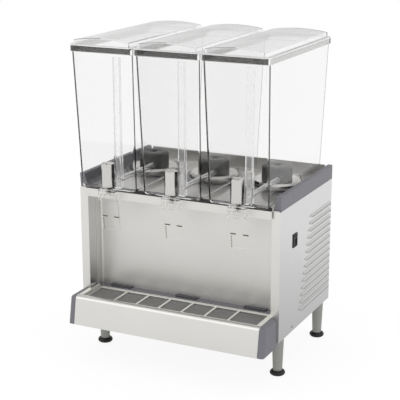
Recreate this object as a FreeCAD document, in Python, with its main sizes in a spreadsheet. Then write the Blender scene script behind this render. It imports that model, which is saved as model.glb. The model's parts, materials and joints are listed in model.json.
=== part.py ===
"""Cold drink dispenser with three clear bowls over a refrigerated cabinet.

Millimetres, +Z up, the user stands on the -Y side.  The origin is on the floor,
under the middle of the overall box.  Each sub-part is one named node.
"""
import FreeCAD, Part
import math
import os
import Sketcher
from FreeCAD import Placement, Rotation, Vector

DOC = FreeCAD.newDocument("drink_dispenser")
SHEET = DOC.addObject("Spreadsheet::Sheet", "sizes")
NODES = []

SIDES = {"left": -1, "right": 1}
BOWL_STEPS = {"left": -1, "centre": 0, "right": 1}

# Driving dimensions, in millimetres and degrees
DRIVING = {
    # Cabinet shell
    "cabinet_width": 555.0,
    "cabinet_depth": 358.0,
    "cabinet_height": 334.0,
    "sheet_gauge": 1.2,
    "pillar_width": 22.5,
    "pillar_return": 40.0,
    "rear_return": 15.0,
    "bay_depth": 61.0,
    "splash_return": 25.0,
    "splash_bend": 5.0,
    "rear_cover_step": 6.8,
    "rear_cover_flange": 20.0,
    "base_rim": 18.0,
    "seat_gap": 0.3,
    "rest_gap": 0.1,
    # Louvres and vents
    "louvre_count": 14,
    "louvre_pitch": 17.7,
    "louvre_first_drop": 66.0,
    "louvre_rise": 9.0,
    "louvre_reach": 4.5,
    "louvre_lip": 1.8,
    "louvre_top_start": 206.0,
    "louvre_bottom_start": 139.0,
    "louvre_rear_margin": 13.0,
    "vent_count": 18,
    "vent_width": 6.0,
    "vent_pitch": 16.0,
    "vent_length": 120.0,
    "vent_height": 130.0,
    # Legs and feet
    "leg_height": 99.0,
    "leg_top_radius": 15.5,
    "leg_foot_radius": 12.0,
    "leg_plate_radius": 18.0,
    "leg_plate_thickness": 3.0,
    "foot_height": 11.0,
    "foot_radius": 19.5,
    "foot_sole_radius": 17.5,
    "foot_neck_radius": 17.0,
    "foot_waist_low": 3.0,
    "foot_waist_high": 7.5,
    "leg_side_inset": 26.4,
    "front_leg_setback": 62.7,
    "rear_leg_setback": 346.0,
    # Deck, side rails and bowl rest
    "deck_gauge": 1.5,
    "deck_overhang": 8.0,
    "apron_height": 21.5,
    "apron_width": 515.0,
    "deck_rear_upstand": 34.0,
    "rail_height": 35.5,
    "rail_foot_width": 20.0,
    "rail_top_width": 12.5,
    "rail_nose_rake": 4.0,
    "rail_edge_radius": 1.5,
    "rest_strip_height": 8.2,
    "rest_strip_depth": 9.0,
    # Bowls
    "bowl_pitch": 178.3,
    "bowl_wall": 3.0,
    "bowl_height": 362.0,
    "bowl_foot_width": 156.4,
    "bowl_mouth_width": 169.0,
    "bowl_foot_front": -28.0,
    "bowl_foot_rear": 322.0,
    "bowl_mouth_front": -49.2,
    "bowl_mouth_rear": 353.0,
    "bowl_foot_radius": 9.0,
    "bowl_front_edge_radius": 3.0,
    "bowl_inner_edge_radius": 2.0,
    "bowl_corner_radius": 8.0,
    "rim_ledge": 3.2,
    "rim_depth": 16.0,
    "rim_corner_radius": 9.0,
    "collar_gap": 2.5,
    "collar_wall": 3.5,
    "collar_height": 10.0,
    # Lids
    "lid_wall": 2.0,
    "lid_flange": 9.5,
    "lid_side_rise": 12.0,
    "lid_crown_rise": 7.0,
    "lid_lip_depth": 6.0,
    "lid_lip_gap": 1.5,
    # Cold plates, gaskets and pumps
    "plate_setback": 216.0,
    "plate_radius": 64.0,
    "plate_rise": 20.5,
    "plate_edge_radius": 5.0,
    "plate_neck_radius": 30.0,
    "plate_neck_drop": 14.0,
    "plate_pin_radius": 3.0,
    "gasket_width": 10.0,
    "pump_cover_radius": 38.5,
    "pump_cover_height": 36.0,
    "pump_cover_wall": 2.5,
    "pump_cover_edge": 4.0,
    "pump_nozzle_radius": 8.0,
    "pump_nozzle_bore": 5.5,
    "pump_nozzle_reach": 10.0,
    "impeller_radius": 31.0,
    "impeller_disc": 3.0,
    "impeller_vane_height": 12.0,
    "impeller_vane_width": 3.0,
    "impeller_boss_radius": 8.0,
    "impeller_vanes": 6,
    "motor_radius": 35.0,
    "motor_height": 64.0,
    "motor_flange_radius": 42.0,
    "motor_flange_thickness": 3.0,
    # Spray tubes
    "tube_offset": 21.0,
    "tube_setback": -8.0,
    "tube_width": 18.0,
    "tube_depth": 9.0,
    "tube_wall": 1.6,
    "tube_top_gap": 30.0,
    "tube_foot_height": 80.0,
    "tube_foot_width": 20.0,
    "tube_foot_depth": 15.0,
    "tube_foot_edge": 3.0,
    "duct_radius": 6.5,
    "duct_rise": 20.0,
    # Taps
    "sleeve_offset": 11.0,
    "sleeve_setback": -6.0,
    "sleeve_radius": 17.0,
    "sleeve_wall": 1.6,
    "sleeve_height": 59.0,
    "sleeve_window_start": 3.0,
    "sleeve_window_width": 12.0,
    "sleeve_window_height": 10.0,
    "port_setback": -15.0,
    "port_radius": 4.0,
    "seat_radius": 5.5,
    "seat_thickness": 5.0,
    "stem_radius": 2.5,
    "stem_rise": 62.0,
    "stem_fit": 0.3,
    "tap_width": 49.0,
    "tap_front": -40.0,
    "tap_height": 26.7,
    "tap_wall": 3.0,
    "tap_roof": 4.0,
    "tap_corner_radius": 6.0,
    "tap_nozzle_radius": 5.2,
    "tap_nozzle_drop": 6.0,
    "lever_pivot_setback": -27.0,
    "lever_pivot_drop": 18.0,
    "lever_hub_radius": 4.0,
    "lever_pin_radius": 2.4,
    "lever_pin_fit": 0.1,
    "lever_side_gap": 0.4,
    "lever_drop": 91.0,
    "lever_lean": 14.0,
    "lever_thickness": 3.6,
    "lever_width": 50.0,
    "lever_toe_length": 15.0,
    "lever_toe_width": 10.0,
    "lever_toe_thickness": 4.0,
    "lever_toe_drop": 2.0,
    "lever_neck_drop": 12.0,
    "lever_neck_lean": 3.0,
    "lever_edge_radius": 6.0,
    # Drip tray, caps, grille and sill
    "tray_reach": 84.0,
    "tray_width": 512.0,
    "tray_bottom": 98.8,
    "tray_top": 174.0,
    "tray_face_lean": 14.0,
    "tray_roll_radius": 12.0,
    "tray_lip_width": 2.0,
    "tray_gauge": 1.2,
    "tray_floor": 118.0,
    "tray_trough_front": -44.0,
    "tray_trough_rear": 34.0,
    "tray_end_inset": 12.0,
    "ledge_height": 164.0,
    "ledge_width": 6.0,
    "cap_width": 17.0,
    "cap_edge_radius": 8.0,
    "cap_nose_radius": 9.0,
    "cap_top": 172.0,
    "support_offset": 120.0,
    "support_width": 40.0,
    "grille_thickness": 2.5,
    "grille_border": 6.0,
    "grille_bar": 6.0,
    "grille_fields": 7,
    "grille_end_gap": 1.0,
    "grille_end_extra": 16.0,
    "insert_thickness": 1.6,
    "insert_slots": 6,
    "insert_slot_width": 4.4,
    "insert_margin": 2.0,
    "sill_height": 4.0,
    "sill_pad_height": 3.0,
    "sill_pad_length": 62.0,
    "sill_pad_share": 0.753,
    "sill_pad_depth": 15.0,
    "sill_pad_round": 6.0,
    # Switch, inlet and screws
    "switch_setback": 97.0,
    "switch_level": 348.0,
    "switch_width": 26.0,
    "switch_height": 34.0,
    "switch_bezel": 2.0,
    "switch_body_depth": 18.0,
    "switch_wall": 2.5,
    "switch_end_wall": 4.25,
    "rocker_gap": 0.5,
    "rocker_end_gap": 1.2,
    "rocker_proud": 1.6,
    "rocker_tilt": 7.0,
    "rocker_back": 3.0,
    "rocker_pin_radius": 1.6,
    "inlet_offset": 190.0,
    "inlet_level": 160.0,
    "inlet_width": 30.0,
    "inlet_height": 26.0,
    "inlet_flange": 5.0,
    "inlet_depth": 22.0,
    "inlet_wall": 3.0,
    "inlet_pin": 4.0,
    "inlet_pin_pitch": 6.4,
    "screw_head_radius": 3.6,
    "screw_head_height": 1.6,
    "screw_shank_radius": 1.8,
    "screw_shank_length": 8.0,
    "side_screw_setback": 90.7,
    "side_screw_level": 122.0,
    "rear_screw_margin": 9.0,
    # Cooling machinery
    "compressor_offset": -130.0,
    "compressor_setback": 225.0,
    "compressor_radius": 62.0,
    "compressor_height": 150.0,
    "compressor_dome": 24.0,
    "compressor_plate": 4.0,
    "compressor_plate_width": 150.0,
    "compressor_mount_radius": 9.0,
    "compressor_mount_height": 12.0,
    "condenser_offset": 236.0,
    "condenser_front": 185.0,
    "condenser_length": 160.0,
    "condenser_height": 200.0,
    "condenser_thickness": 40.0,
    "condenser_base": 8.0,
    "condenser_fins": 16,
    "condenser_fin": 1.5,
    "condenser_rows": 5,
    "condenser_tube_height": 3.0,
    "condenser_tube_inset": 5.0,
    "fan_offset": 196.0,
    "fan_radius": 74.0,
    "fan_hub_radius": 18.0,
    "fan_hub_length": 14.0,
    "fan_blades": 5,
    "fan_blade_pitch": 28.0,
    "fan_blade_width": 44.0,
    "fan_blade_thickness": 2.0,
    "fan_motor_radius": 27.0,
    "fan_motor_length": 48.0,
    "fan_shaft_radius": 3.0,
    "fan_shaft_fit": 0.1,
    "fan_shaft_reach": 8.0,
    "fan_bracket_width": 60.0,
    "fan_bracket_gauge": 3.0,
    "pipe_radius": 4.0,
    "pipe_bend": 18.0,
    "branch_radius": 3.2,
    "suction_bend": 14.0,
    "pipe_level": 345.0,
    "header_setback": 168.0,
    "header_level": 437.0,
}


class Size:
    """A number worked out from cells of the sheet, with the expression that gives it."""

    def __init__(self, value, text):
        self.value = float(value)
        self.text = text

    def __float__(self):
        return self.value

    def __add__(self, other):
        return Size(self.value + float(other), f"({self.text} + {words(other)})")

    def __radd__(self, other):
        return as_size(other) + self

    def __sub__(self, other):
        return Size(self.value - float(other), f"({self.text} - {words(other)})")

    def __rsub__(self, other):
        return as_size(other) - self

    def __mul__(self, other):
        return Size(self.value * float(other), f"({self.text} * {words(other)})")

    def __rmul__(self, other):
        return as_size(other) * self

    def __truediv__(self, other):
        return Size(self.value / float(other), f"({self.text} / {words(other)})")

    def __neg__(self):
        return Size(-self.value, f"(0 - {self.text})")


def words(number):
    """Give the expression text of a Size or of a plain number."""
    if isinstance(number, Size):
        return number.text
    return repr(float(number))


def as_size(number):
    """Turn a plain number into a Size."""
    if isinstance(number, Size):
        return number
    return Size(number, repr(float(number)))


class Sizes:
    """The driving dimensions, read from the sheet by name."""

    def __init__(self, sheet, driving):
        for row, (alias, number) in enumerate(driving.items(), start=1):
            sheet.set(f"A{row}", alias)
            sheet.set(f"B{row}", str(number))
            sheet.setAlias(f"B{row}", alias)
        sheet.recompute()
        for alias in driving:
            setattr(self, alias, Size(sheet.get(alias), f"{sheet.Name}.{alias}"))


S = Sizes(SHEET, DRIVING)
DOC.recompute()

TINY = 1e-9
MATCH = 0.05
ALONG_SHARE = 0.8


def bind(thing, prop, number):
    """Bind one property of an object to a Size, or set it to a plain number."""
    thing.setExpression(prop, words(number))


def place(thing, x=0, y=0, z=0):
    """Bind the place of an object."""
    for axis, number in zip("xyz", (x, y, z)):
        if isinstance(number, Size) or number != 0:
            bind(thing, f"Placement.Base.{axis}", number)


def node(thing, label):
    """Name an object as one sub-part of the dispenser."""
    thing.Label = label
    NODES.append(thing)
    return thing


class Outline:
    """Closed outlines of one sketch, each point bound to its sizes."""

    def __init__(self, sketch):
        self.sketch = sketch

    def fix(self, geometry, point, u, v):
        """Bind the place of one point of the sketch."""
        for kind, axis, number in (("DistanceX", -2, u), ("DistanceY", -1, v)):
            if abs(float(number)) < TINY:
                self.sketch.addConstraint(Sketcher.Constraint("PointOnObject", geometry, point, axis))
                continue
            rule = Sketcher.Constraint(kind, -1, 1, geometry, point, float(number))
            index = self.sketch.addConstraint(rule)
            if isinstance(number, Size):
                self.sketch.setExpression(f"Constraints[{index}]", number.text)

    def polygon(self, corners):
        """Draw a closed outline of straight lines through the corners."""
        points = [Vector(float(u), float(v), 0) for u, v in corners]
        first = self.sketch.GeometryCount
        count = len(points)
        for index in range(count):
            line = Part.LineSegment(points[index], points[(index + 1) % count])
            self.sketch.addGeometry(line, False)
        for index in range(count):
            following = first + (index + 1) % count
            self.sketch.addConstraint(Sketcher.Constraint("Coincident", first + index, 2, following, 1))
        for index, (u, v) in enumerate(corners):
            self.fix(first + index, 1, u, v)

    def rectangle(self, left, right, low, high):
        """Draw a rectangle between two pairs of sides."""
        self.polygon([(left, low), (right, low), (right, high), (left, high)])

    def circle(self, u, v, radius):
        """Draw a circle about a centre."""
        centre = Vector(float(u), float(v), 0)
        index = self.sketch.addGeometry(Part.Circle(centre, Vector(0, 0, 1), float(radius)), False)
        self.fix(index, 3, u, v)
        rule = self.sketch.addConstraint(Sketcher.Constraint("Radius", index, float(radius)))
        if isinstance(radius, Size):
            self.sketch.setExpression(f"Constraints[{rule}]", radius.text)


class Solid:
    """One sub-part made as a body of sketched features."""

    PLANES = {"XY": "XY_Plane", "XZ": "XZ_Plane", "YZ": "YZ_Plane"}

    def __init__(self, label):
        self.body = DOC.addObject("PartDesign::Body", label)
        node(self.body, label)
        self.label = label
        self.steps = 0

    def sketch(self, plane, offset):
        """Start a sketch on one of the body's own planes, moved along its normal."""
        self.steps += 1
        made = self.body.newObject("Sketcher::SketchObject", f"{self.label}_outline_{self.steps}")
        role = self.PLANES[plane]
        origin = [item for item in self.body.Origin.OriginFeatures if item.Role == role][0]
        made.AttachmentSupport = [(origin, "")]
        made.MapMode = "FlatFace"
        bind(made, "AttachmentOffset.Base.z", offset)
        return made

    def pad(self, plane, draw, low, high):
        """Add material between two levels along the plane's axis."""
        offset = -as_size(high) if plane == "XZ" else as_size(low)
        made = self.sketch(plane, offset)
        draw(Outline(made))
        feature = self.body.newObject("PartDesign::Pad", f"{self.label}_pad_{self.steps}")
        feature.Profile = made
        bind(feature, "Length", as_size(high) - low)
        return self.finish(feature, grows=True)

    def pocket(self, plane, draw, low, high):
        """Take material away between two levels along the plane's axis."""
        offset = -as_size(low) if plane == "XZ" else as_size(high)
        made = self.sketch(plane, offset)
        draw(Outline(made))
        feature = self.body.newObject("PartDesign::Pocket", f"{self.label}_pocket_{self.steps}")
        feature.Profile = made
        bind(feature, "Length", as_size(high) - low)
        return self.finish(feature, grows=False)

    def turn(self, draw):
        """Revolve an outline, drawn as radius and height, about the body's Z axis."""
        made = self.sketch("XZ", 0)
        draw(Outline(made))
        feature = self.body.newObject("PartDesign::Revolution", f"{self.label}_turn_{self.steps}")
        feature.Profile = made
        feature.ReferenceAxis = (made, ["V_Axis"])
        feature.Angle = 360
        return self.finish(feature, grows=True)

    def round(self, radius, chooses):
        """Round the edges whose middle point the test chooses."""
        DOC.recompute()
        base = self.body.Tip
        names = []
        for index, edge in enumerate(base.Shape.Edges, start=1):
            middle = edge.valueAt((edge.FirstParameter + edge.LastParameter) / 2)
            if chooses(middle, edge):
                names.append(f"Edge{index}")
        if not names:
            raise ValueError(f"{self.label}: no edge to round")
        self.steps += 1
        feature = self.body.newObject("PartDesign::Fillet", f"{self.label}_round_{self.steps}")
        feature.Base = (base, names)
        bind(feature, "Radius", radius)
        DOC.recompute()
        return feature

    def finish(self, feature, grows):
        """Recompute a feature and make sure that it changed the body's volume."""
        previous = feature.BaseFeature
        before = previous.Shape.Volume if previous else 0.0
        feature.recompute(True)
        after = feature.Shape.Volume
        if (after - before) * (1 if grows else -1) <= 0:
            raise ValueError(f"{feature.Name} changes nothing: {before} to {after}")
        return feature


def block(x, y, z):
    """Make a box between three pairs of places."""
    made = DOC.addObject("Part::Box", "block")
    for prop, (low, high) in zip(("Length", "Width", "Height"), (x, y, z)):
        bind(made, prop, as_size(high) - low)
    place(made, as_size(x[0]), as_size(y[0]), as_size(z[0]))
    return made


AXIS_TURNS = {
    "X": Rotation(Vector(0, 1, 0), 90),
    "Y": Rotation(Vector(1, 0, 0), -90),
    "Z": Rotation(),
}


def rod(radius, length, x, y, z, axis="Z"):
    """Make a cylinder that starts at a place and runs along an axis."""
    made = DOC.addObject("Part::Cylinder", "rod")
    bind(made, "Radius", radius)
    bind(made, "Height", length)
    made.Placement = Placement(Vector(), AXIS_TURNS[axis])
    place(made, as_size(x), as_size(y), as_size(z))
    return made


def hexagon(radius, length, x, y, z, axis):
    """Make a six-sided prism that starts at a place and runs along an axis."""
    made = DOC.addObject("Part::Prism", "hexagon")
    made.Polygon = 6
    bind(made, "Circumradius", radius)
    bind(made, "Height", length)
    made.Placement = Placement(Vector(), AXIS_TURNS[axis])
    place(made, as_size(x), as_size(y), as_size(z))
    return made


def taper(low_radius, high_radius, length, x, y, z):
    """Make a round taper that stands on a place."""
    made = DOC.addObject("Part::Cone", "taper")
    bind(made, "Radius1", low_radius)
    bind(made, "Radius2", high_radius)
    bind(made, "Height", length)
    place(made, as_size(x), as_size(y), as_size(z))
    return made


def join(*things):
    """Fuse solids into one."""
    made = DOC.addObject("Part::MultiFuse", "join")
    made.Shapes = list(things)
    made.Refine = True
    return made


def cut(base, *tools):
    """Cut solids out of a base."""
    made = DOC.addObject("Part::Cut", "cut")
    made.Base = base
    made.Tool = tools[0] if len(tools) == 1 else join(*tools)
    made.Refine = True
    return made


def group(*things):
    """Hold identical solids together without joining them."""
    made = DOC.addObject("Part::Compound", "group")
    made.Links = list(things)
    return made


def soften(base, choices):
    """Round edges of a solid; each choice is a radius and a test of the edge's middle."""
    DOC.recompute()
    edges = []
    for index, edge in enumerate(base.Shape.Edges, start=1):
        middle = edge.valueAt((edge.FirstParameter + edge.LastParameter) / 2)
        for radius, chooses in choices:
            if chooses(middle, edge):
                edges.append((index, float(radius), float(radius)))
                break
    if not edges:
        raise ValueError("no edge to round")
    made = DOC.addObject("Part::Fillet", "soften")
    made.Base = base
    made.Edges = edges
    return made


def runs_along(edge, axis):
    """Tell whether an edge is straight and runs mostly along an axis."""
    if not isinstance(edge.Curve, (Part.Line, Part.LineSegment)):
        return False
    ends = edge.Vertexes[-1].Point - edge.Vertexes[0].Point
    share = {"X": abs(ends.x), "Y": abs(ends.y), "Z": abs(ends.z)}[axis]
    return share > ALONG_SHARE * ends.Length


def near(number, target):
    """Tell whether a coordinate lies at a place."""
    return abs(number - float(target)) < MATCH


# Places worked out from the driving dimensions
REAR_COVER = S.cabinet_depth + S.rear_cover_step
REAR_REACH = REAR_COVER + S.screw_head_height
FRONT = (S.tray_reach - REAR_REACH) / 2
HALF_WIDTH = S.cabinet_width / 2
BAY_HALF = HALF_WIDTH - S.pillar_width
TRAY_ROLL_TURNS = (75, 50, 25, 0)
TUBE_SIDES = 8
INNER_HALF = HALF_WIDTH - S.sheet_gauge
BASE = S.foot_height + S.leg_height
FLOOR_PLATE = BASE + S.deck_gauge
SIDE_TOP = BASE + S.cabinet_height
DECK_TOP = SIDE_TOP + S.deck_gauge
STRIP_TOP = DECK_TOP + S.rest_strip_height
BOWL_FOOT = STRIP_TOP + S.seat_gap
BOWL_FLOOR = BOWL_FOOT + S.bowl_wall
RIM_TOP = BOWL_FOOT + S.bowl_height
PLATE_TOP = DECK_TOP + S.plate_rise
PLATE_Y = FRONT + S.plate_setback
TAP_TOP = BOWL_FOOT
TAP_FOOT = TAP_TOP - S.tap_height
TAP_REAR = FRONT - S.deck_overhang - S.seat_gap
PIVOT_Y = FRONT + S.lever_pivot_setback
PIVOT_Z = TAP_TOP - S.lever_pivot_drop
PORT_Y = FRONT + S.port_setback


def bowl_centre(step):
    """Give the middle of one bowl across the dispenser."""
    return S.bowl_pitch * step


def sketch_on(plane, level, draw):
    """Draw an outline on a plane that lies at a level along its own axis."""
    turns = {
        "XY": Rotation(),
        "XZ": Rotation(Vector(1, 0, 0), 90),
        "YZ": Rotation(Vector(1, 1, 1), 120),
    }
    made = DOC.addObject("Sketcher::SketchObject", "outline")
    draw(Outline(made))
    made.Placement = Placement(Vector(), turns[plane])
    bind(made, "Placement.Base." + {"XY": "z", "XZ": "y", "YZ": "x"}[plane], level)
    return made


def drawn_out(plane, draw, low, high):
    """Extrude an outline between two levels along its plane's axis."""
    made = DOC.addObject("Part::Extrusion", "drawn_out")
    made.Base = sketch_on(plane, low, draw)
    made.DirMode = "Custom"
    made.Dir = {"XY": Vector(0, 0, 1), "XZ": Vector(0, 1, 0), "YZ": Vector(1, 0, 0)}[plane]
    bind(made, "LengthFwd", as_size(high) - low)
    made.Solid = True
    return made


def turned(draw, x, y, z=0):
    """Revolve an outline, drawn as radius and height, about an upright axis."""
    made = DOC.addObject("Part::Revolution", "turned")
    made.Source = sketch_on("XZ", 0, draw)
    made.Axis = Vector(0, 0, 1)
    made.Angle = 360
    made.Solid = True
    place(made, as_size(x), as_size(y), as_size(z))
    return made


def tapered(foot, mouth, low, high):
    """Make a straight-sided block that widens from its foot to its mouth.

    Foot and mouth are each given as left, right, front and rear.
    """
    side = [(foot[2], low), (foot[3], low), (mouth[3], high), (mouth[2], high)]
    face = [(foot[0], low), (foot[1], low), (mouth[1], high), (mouth[0], high)]
    made = DOC.addObject("Part::MultiCommon", "tapered")
    made.Shapes = [drawn_out("YZ", lambda o: o.polygon(side), mouth[0] - S.bowl_wall,
                             mouth[1] + S.bowl_wall),
                   drawn_out("XZ", lambda o: o.polygon(face), mouth[2] - S.bowl_wall,
                             mouth[3] + S.bowl_wall)]
    return made


# Cabinet shell

def base_pan():
    """Folded floor of the cabinet, with side rims and two arms that carry the tray."""
    part = Solid("base_pan")
    front = FRONT + S.pillar_return + S.seat_gap
    notch = FRONT + S.cabinet_depth - S.sheet_gauge
    rear = FRONT + REAR_COVER
    rear_half = HALF_WIDTH - S.rear_return
    plate = [(-INNER_HALF, front), (INNER_HALF, front), (INNER_HALF, notch), (rear_half, notch),
             (rear_half, rear), (-rear_half, rear), (-rear_half, notch), (-INNER_HALF, notch)]
    part.pad("XY", lambda o: o.polygon(plate), BASE, FLOOR_PLATE)

    def rims(outline):
        outline.rectangle(INNER_HALF - S.sheet_gauge, INNER_HALF, front, notch)
        outline.rectangle(-INNER_HALF, -INNER_HALF + S.sheet_gauge, front, notch)

    part.pad("XY", rims, FLOOR_PLATE, FLOOR_PLATE + S.base_rim)
    arm_front = FRONT + S.tray_trough_front
    arm_rear = FRONT + S.bay_depth - S.seat_gap
    gauge = S.deck_gauge

    def arms(outline):
        for sign in SIDES.values():
            left = S.support_offset * sign - S.support_width / 2
            right = S.support_offset * sign + S.support_width / 2
            outline.polygon([(left, BASE), (left + gauge, BASE), (left + gauge, S.tray_floor - gauge),
                             (right - gauge, S.tray_floor - gauge), (right - gauge, BASE),
                             (right, BASE), (right, S.tray_floor), (left, S.tray_floor)])

    part.pad("XZ", arms, arm_front, arm_rear)
    level = S.side_screw_level
    screw_y = FRONT + S.side_screw_setback
    hole = S.screw_shank_radius + S.stem_fit
    part.pocket("YZ", lambda o: o.circle(screw_y, level, hole), -HALF_WIDTH, HALF_WIDTH)


def louvre_level(index):
    """Give the lower edge of one louvre, counted from the top."""
    return SIDE_TOP - S.louvre_first_drop - S.louvre_pitch * index


def louvre_start(index):
    """Give the front end of one louvre, on the straight slant of the louvre field."""
    share = index / (S.louvre_count.value - 1)
    return FRONT + S.louvre_top_start - (S.louvre_top_start - S.louvre_bottom_start) * share


def side_panel(name):
    """Folded side sheet with its front pillar, rear return and punched louvres."""
    sign = SIDES[name]
    part = Solid(f"side_panel_{name}")
    gauge = S.sheet_gauge
    rear = FRONT + S.cabinet_depth
    rear_half = HALF_WIDTH - S.rear_return
    fold = [(BAY_HALF, FRONT), (HALF_WIDTH, FRONT), (HALF_WIDTH, rear), (rear_half, rear),
            (rear_half, rear - gauge), (INNER_HALF, rear - gauge), (INNER_HALF, FRONT + gauge),
            (BAY_HALF + gauge, FRONT + gauge), (BAY_HALF + gauge, FRONT + S.pillar_return),
            (BAY_HALF, FRONT + S.pillar_return)]
    part.pad("XY", lambda o: o.polygon([(x * sign, y) for x, y in fold]), BASE, SIDE_TOP)
    lip = S.louvre_lip
    for index in range(int(S.louvre_count.value)):
        low = louvre_level(index)
        front = louvre_start(index)
        back = rear - S.louvre_rear_margin
        hood = [(HALF_WIDTH, low), (HALF_WIDTH + S.louvre_reach, low),
                (HALF_WIDTH + S.louvre_reach, low + gauge), (HALF_WIDTH, low + S.louvre_rise)]
        hollow = [(INNER_HALF - gauge, low), (HALF_WIDTH + S.louvre_reach - gauge, low),
                  (HALF_WIDTH, low + S.louvre_rise - lip),
                  (INNER_HALF - gauge, low + S.louvre_rise - lip)]
        part.pad("XZ", lambda o: o.polygon([(x * sign, z) for x, z in hood]), front, back)
        part.pocket("XZ", lambda o: o.polygon([(x * sign, z) for x, z in hollow]),
                    front + gauge, back - gauge)
    outside = sorted((INNER_HALF * sign - gauge, HALF_WIDTH * sign + gauge), key=float)
    screw_y = FRONT + S.side_screw_setback
    hole = S.screw_shank_radius + S.stem_fit

    def holes(outline):
        outline.circle(screw_y, S.side_screw_level, hole)
        if name == "right":
            wide = S.switch_width / 2 - S.switch_wall + S.seat_gap
            tall = S.switch_height / 2 - S.switch_wall + S.seat_gap
            middle = FRONT + S.switch_setback
            outline.rectangle(middle - wide, middle + wide, S.switch_level - tall,
                              S.switch_level + tall)

    part.pocket("YZ", holes, outside[0], outside[1])


def rear_screw_places():
    """Give the places of the rear cover's screws, across and up."""
    reach = HALF_WIDTH - S.rear_return - S.rear_screw_margin
    low = FLOOR_PLATE + S.rear_screw_margin
    high = SIDE_TOP - S.rear_screw_margin
    return [(reach * sign, level) for sign in SIDES.values() for level in (low, (low + high) / 2, high)]


def rear_cover():
    """Folded rear cover with upright vent slots and the opening of the power inlet."""
    part = Solid("rear_cover")
    gauge = S.sheet_gauge
    half = HALF_WIDTH - S.rear_return
    outer = FRONT + REAR_COVER
    inner = outer - gauge
    front = outer - S.rear_cover_flange
    fold = [(-half, front), (-half + gauge, front), (-half + gauge, inner), (half - gauge, inner),
            (half - gauge, front), (half, front), (half, outer), (-half, outer)]
    part.pad("XY", lambda o: o.polygon(fold), FLOOR_PLATE, SIDE_TOP)
    foot = FLOOR_PLATE + S.vent_height

    def slots(outline):
        count = int(S.vent_count.value)
        for index in range(count):
            middle = S.vent_pitch * (index - (count - 1) / 2)
            outline.rectangle(middle - S.vent_width / 2, middle + S.vent_width / 2,
                              foot, foot + S.vent_length)
        wide = S.inlet_width / 2 + S.seat_gap
        tall = S.inlet_height / 2 + S.seat_gap
        outline.rectangle(-S.inlet_offset - wide, -S.inlet_offset + wide,
                          S.inlet_level - tall, S.inlet_level + tall)
        for across, level in rear_screw_places():
            outline.circle(across, level, S.screw_shank_radius + S.stem_fit)

    part.pocket("XZ", slots, inner - gauge, outer + gauge)


def splash_panel():
    """Stainless back wall of the cup bay, with forward returns and rounded bends."""
    part = Solid("splash_panel")
    gauge = S.sheet_gauge
    face = FRONT + S.bay_depth
    front = face - S.splash_return
    fold = [(-BAY_HALF, front), (-BAY_HALF + gauge, front), (-BAY_HALF + gauge, face),
            (BAY_HALF - gauge, face), (BAY_HALF - gauge, front), (BAY_HALF, front),
            (BAY_HALF, face + gauge), (-BAY_HALF, face + gauge)]
    part.pad("XY", lambda o: o.polygon(fold), FLOOR_PLATE, SIDE_TOP)
    part.round(S.splash_bend, lambda m, e: runs_along(e, "Z") and near(m.y, face)
               and near(abs(m.x), BAY_HALF - gauge))
    part.round(S.splash_bend + gauge, lambda m, e: runs_along(e, "Z")
               and near(m.y, face + gauge) and near(abs(m.x), BAY_HALF))


def deck_pan():
    """Top sheet that carries the bowls, with its front apron and rear upstand."""
    part = Solid("deck_pan")
    gauge = S.deck_gauge
    front = FRONT - S.deck_overhang
    rear = FRONT + S.cabinet_depth
    half = HALF_WIDTH - S.deck_gauge * 2
    lip_half = S.apron_width / 2
    plate = [(-lip_half, front), (lip_half, front), (lip_half, FRONT), (half, FRONT), (half, rear),
             (-half, rear), (-half, FRONT), (-lip_half, FRONT)]
    part.pad("XY", lambda o: o.polygon(plate), SIDE_TOP, DECK_TOP)
    part.pad("XY", lambda o: o.rectangle(-lip_half, lip_half, front, front + gauge),
             DECK_TOP - S.apron_height, SIDE_TOP)
    part.pad("XY", lambda o: o.rectangle(-lip_half, lip_half, rear - gauge, rear),
             DECK_TOP, DECK_TOP + S.deck_rear_upstand)

    def holes(outline):
        for step in BOWL_STEPS.values():
            outline.circle(bowl_centre(step), PLATE_Y, S.plate_neck_radius + S.deck_gauge)

    part.pocket("XY", holes, SIDE_TOP, DECK_TOP)


def deck_rail(name):
    """Moulded rail along one side of the deck, with a sloped inner face and a raked nose."""
    sign = SIDES[name]
    part = Solid(f"deck_rail_{name}")
    top = DECK_TOP + S.rail_height
    skirt = HALF_WIDTH - S.deck_gauge * 2
    section = [(HALF_WIDTH, SIDE_TOP), (HALF_WIDTH, top), (HALF_WIDTH - S.rail_top_width, top),
               (HALF_WIDTH - S.rail_foot_width, DECK_TOP), (skirt, DECK_TOP), (skirt, SIDE_TOP)]
    front = FRONT
    rear = FRONT + S.cabinet_depth + S.deck_gauge
    part.pad("XZ", lambda o: o.polygon([(x * sign, z) for x, z in section]), front, rear)
    rake = [(front, SIDE_TOP), (front + S.rail_nose_rake, SIDE_TOP), (front, top)]
    sides = sorted(((HALF_WIDTH - S.rail_foot_width) * sign, HALF_WIDTH * sign), key=float)
    part.pocket("YZ", lambda o: o.polygon(rake), sides[0], sides[1])
    part.round(S.rail_edge_radius, lambda m, e: near(m.z, top))


def leg_places():
    """Give the places of the four legs."""
    across = HALF_WIDTH - S.leg_side_inset
    return [(across * sign, FRONT + setback) for sign in SIDES.values()
            for setback in (S.front_leg_setback, S.rear_leg_setback)]


def legs():
    """Four tapered metal legs, each under a round fixing plate."""
    made = []
    plate_foot = BASE - S.leg_plate_thickness
    for x, y in leg_places():
        shaft = taper(S.leg_foot_radius, S.leg_top_radius, S.leg_height - S.leg_plate_thickness,
                      x, y, S.foot_height)
        plate = rod(S.leg_plate_radius, S.leg_plate_thickness, x, y, plate_foot)
        made.append(join(shaft, plate))
    node(group(*made), "legs")


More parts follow.
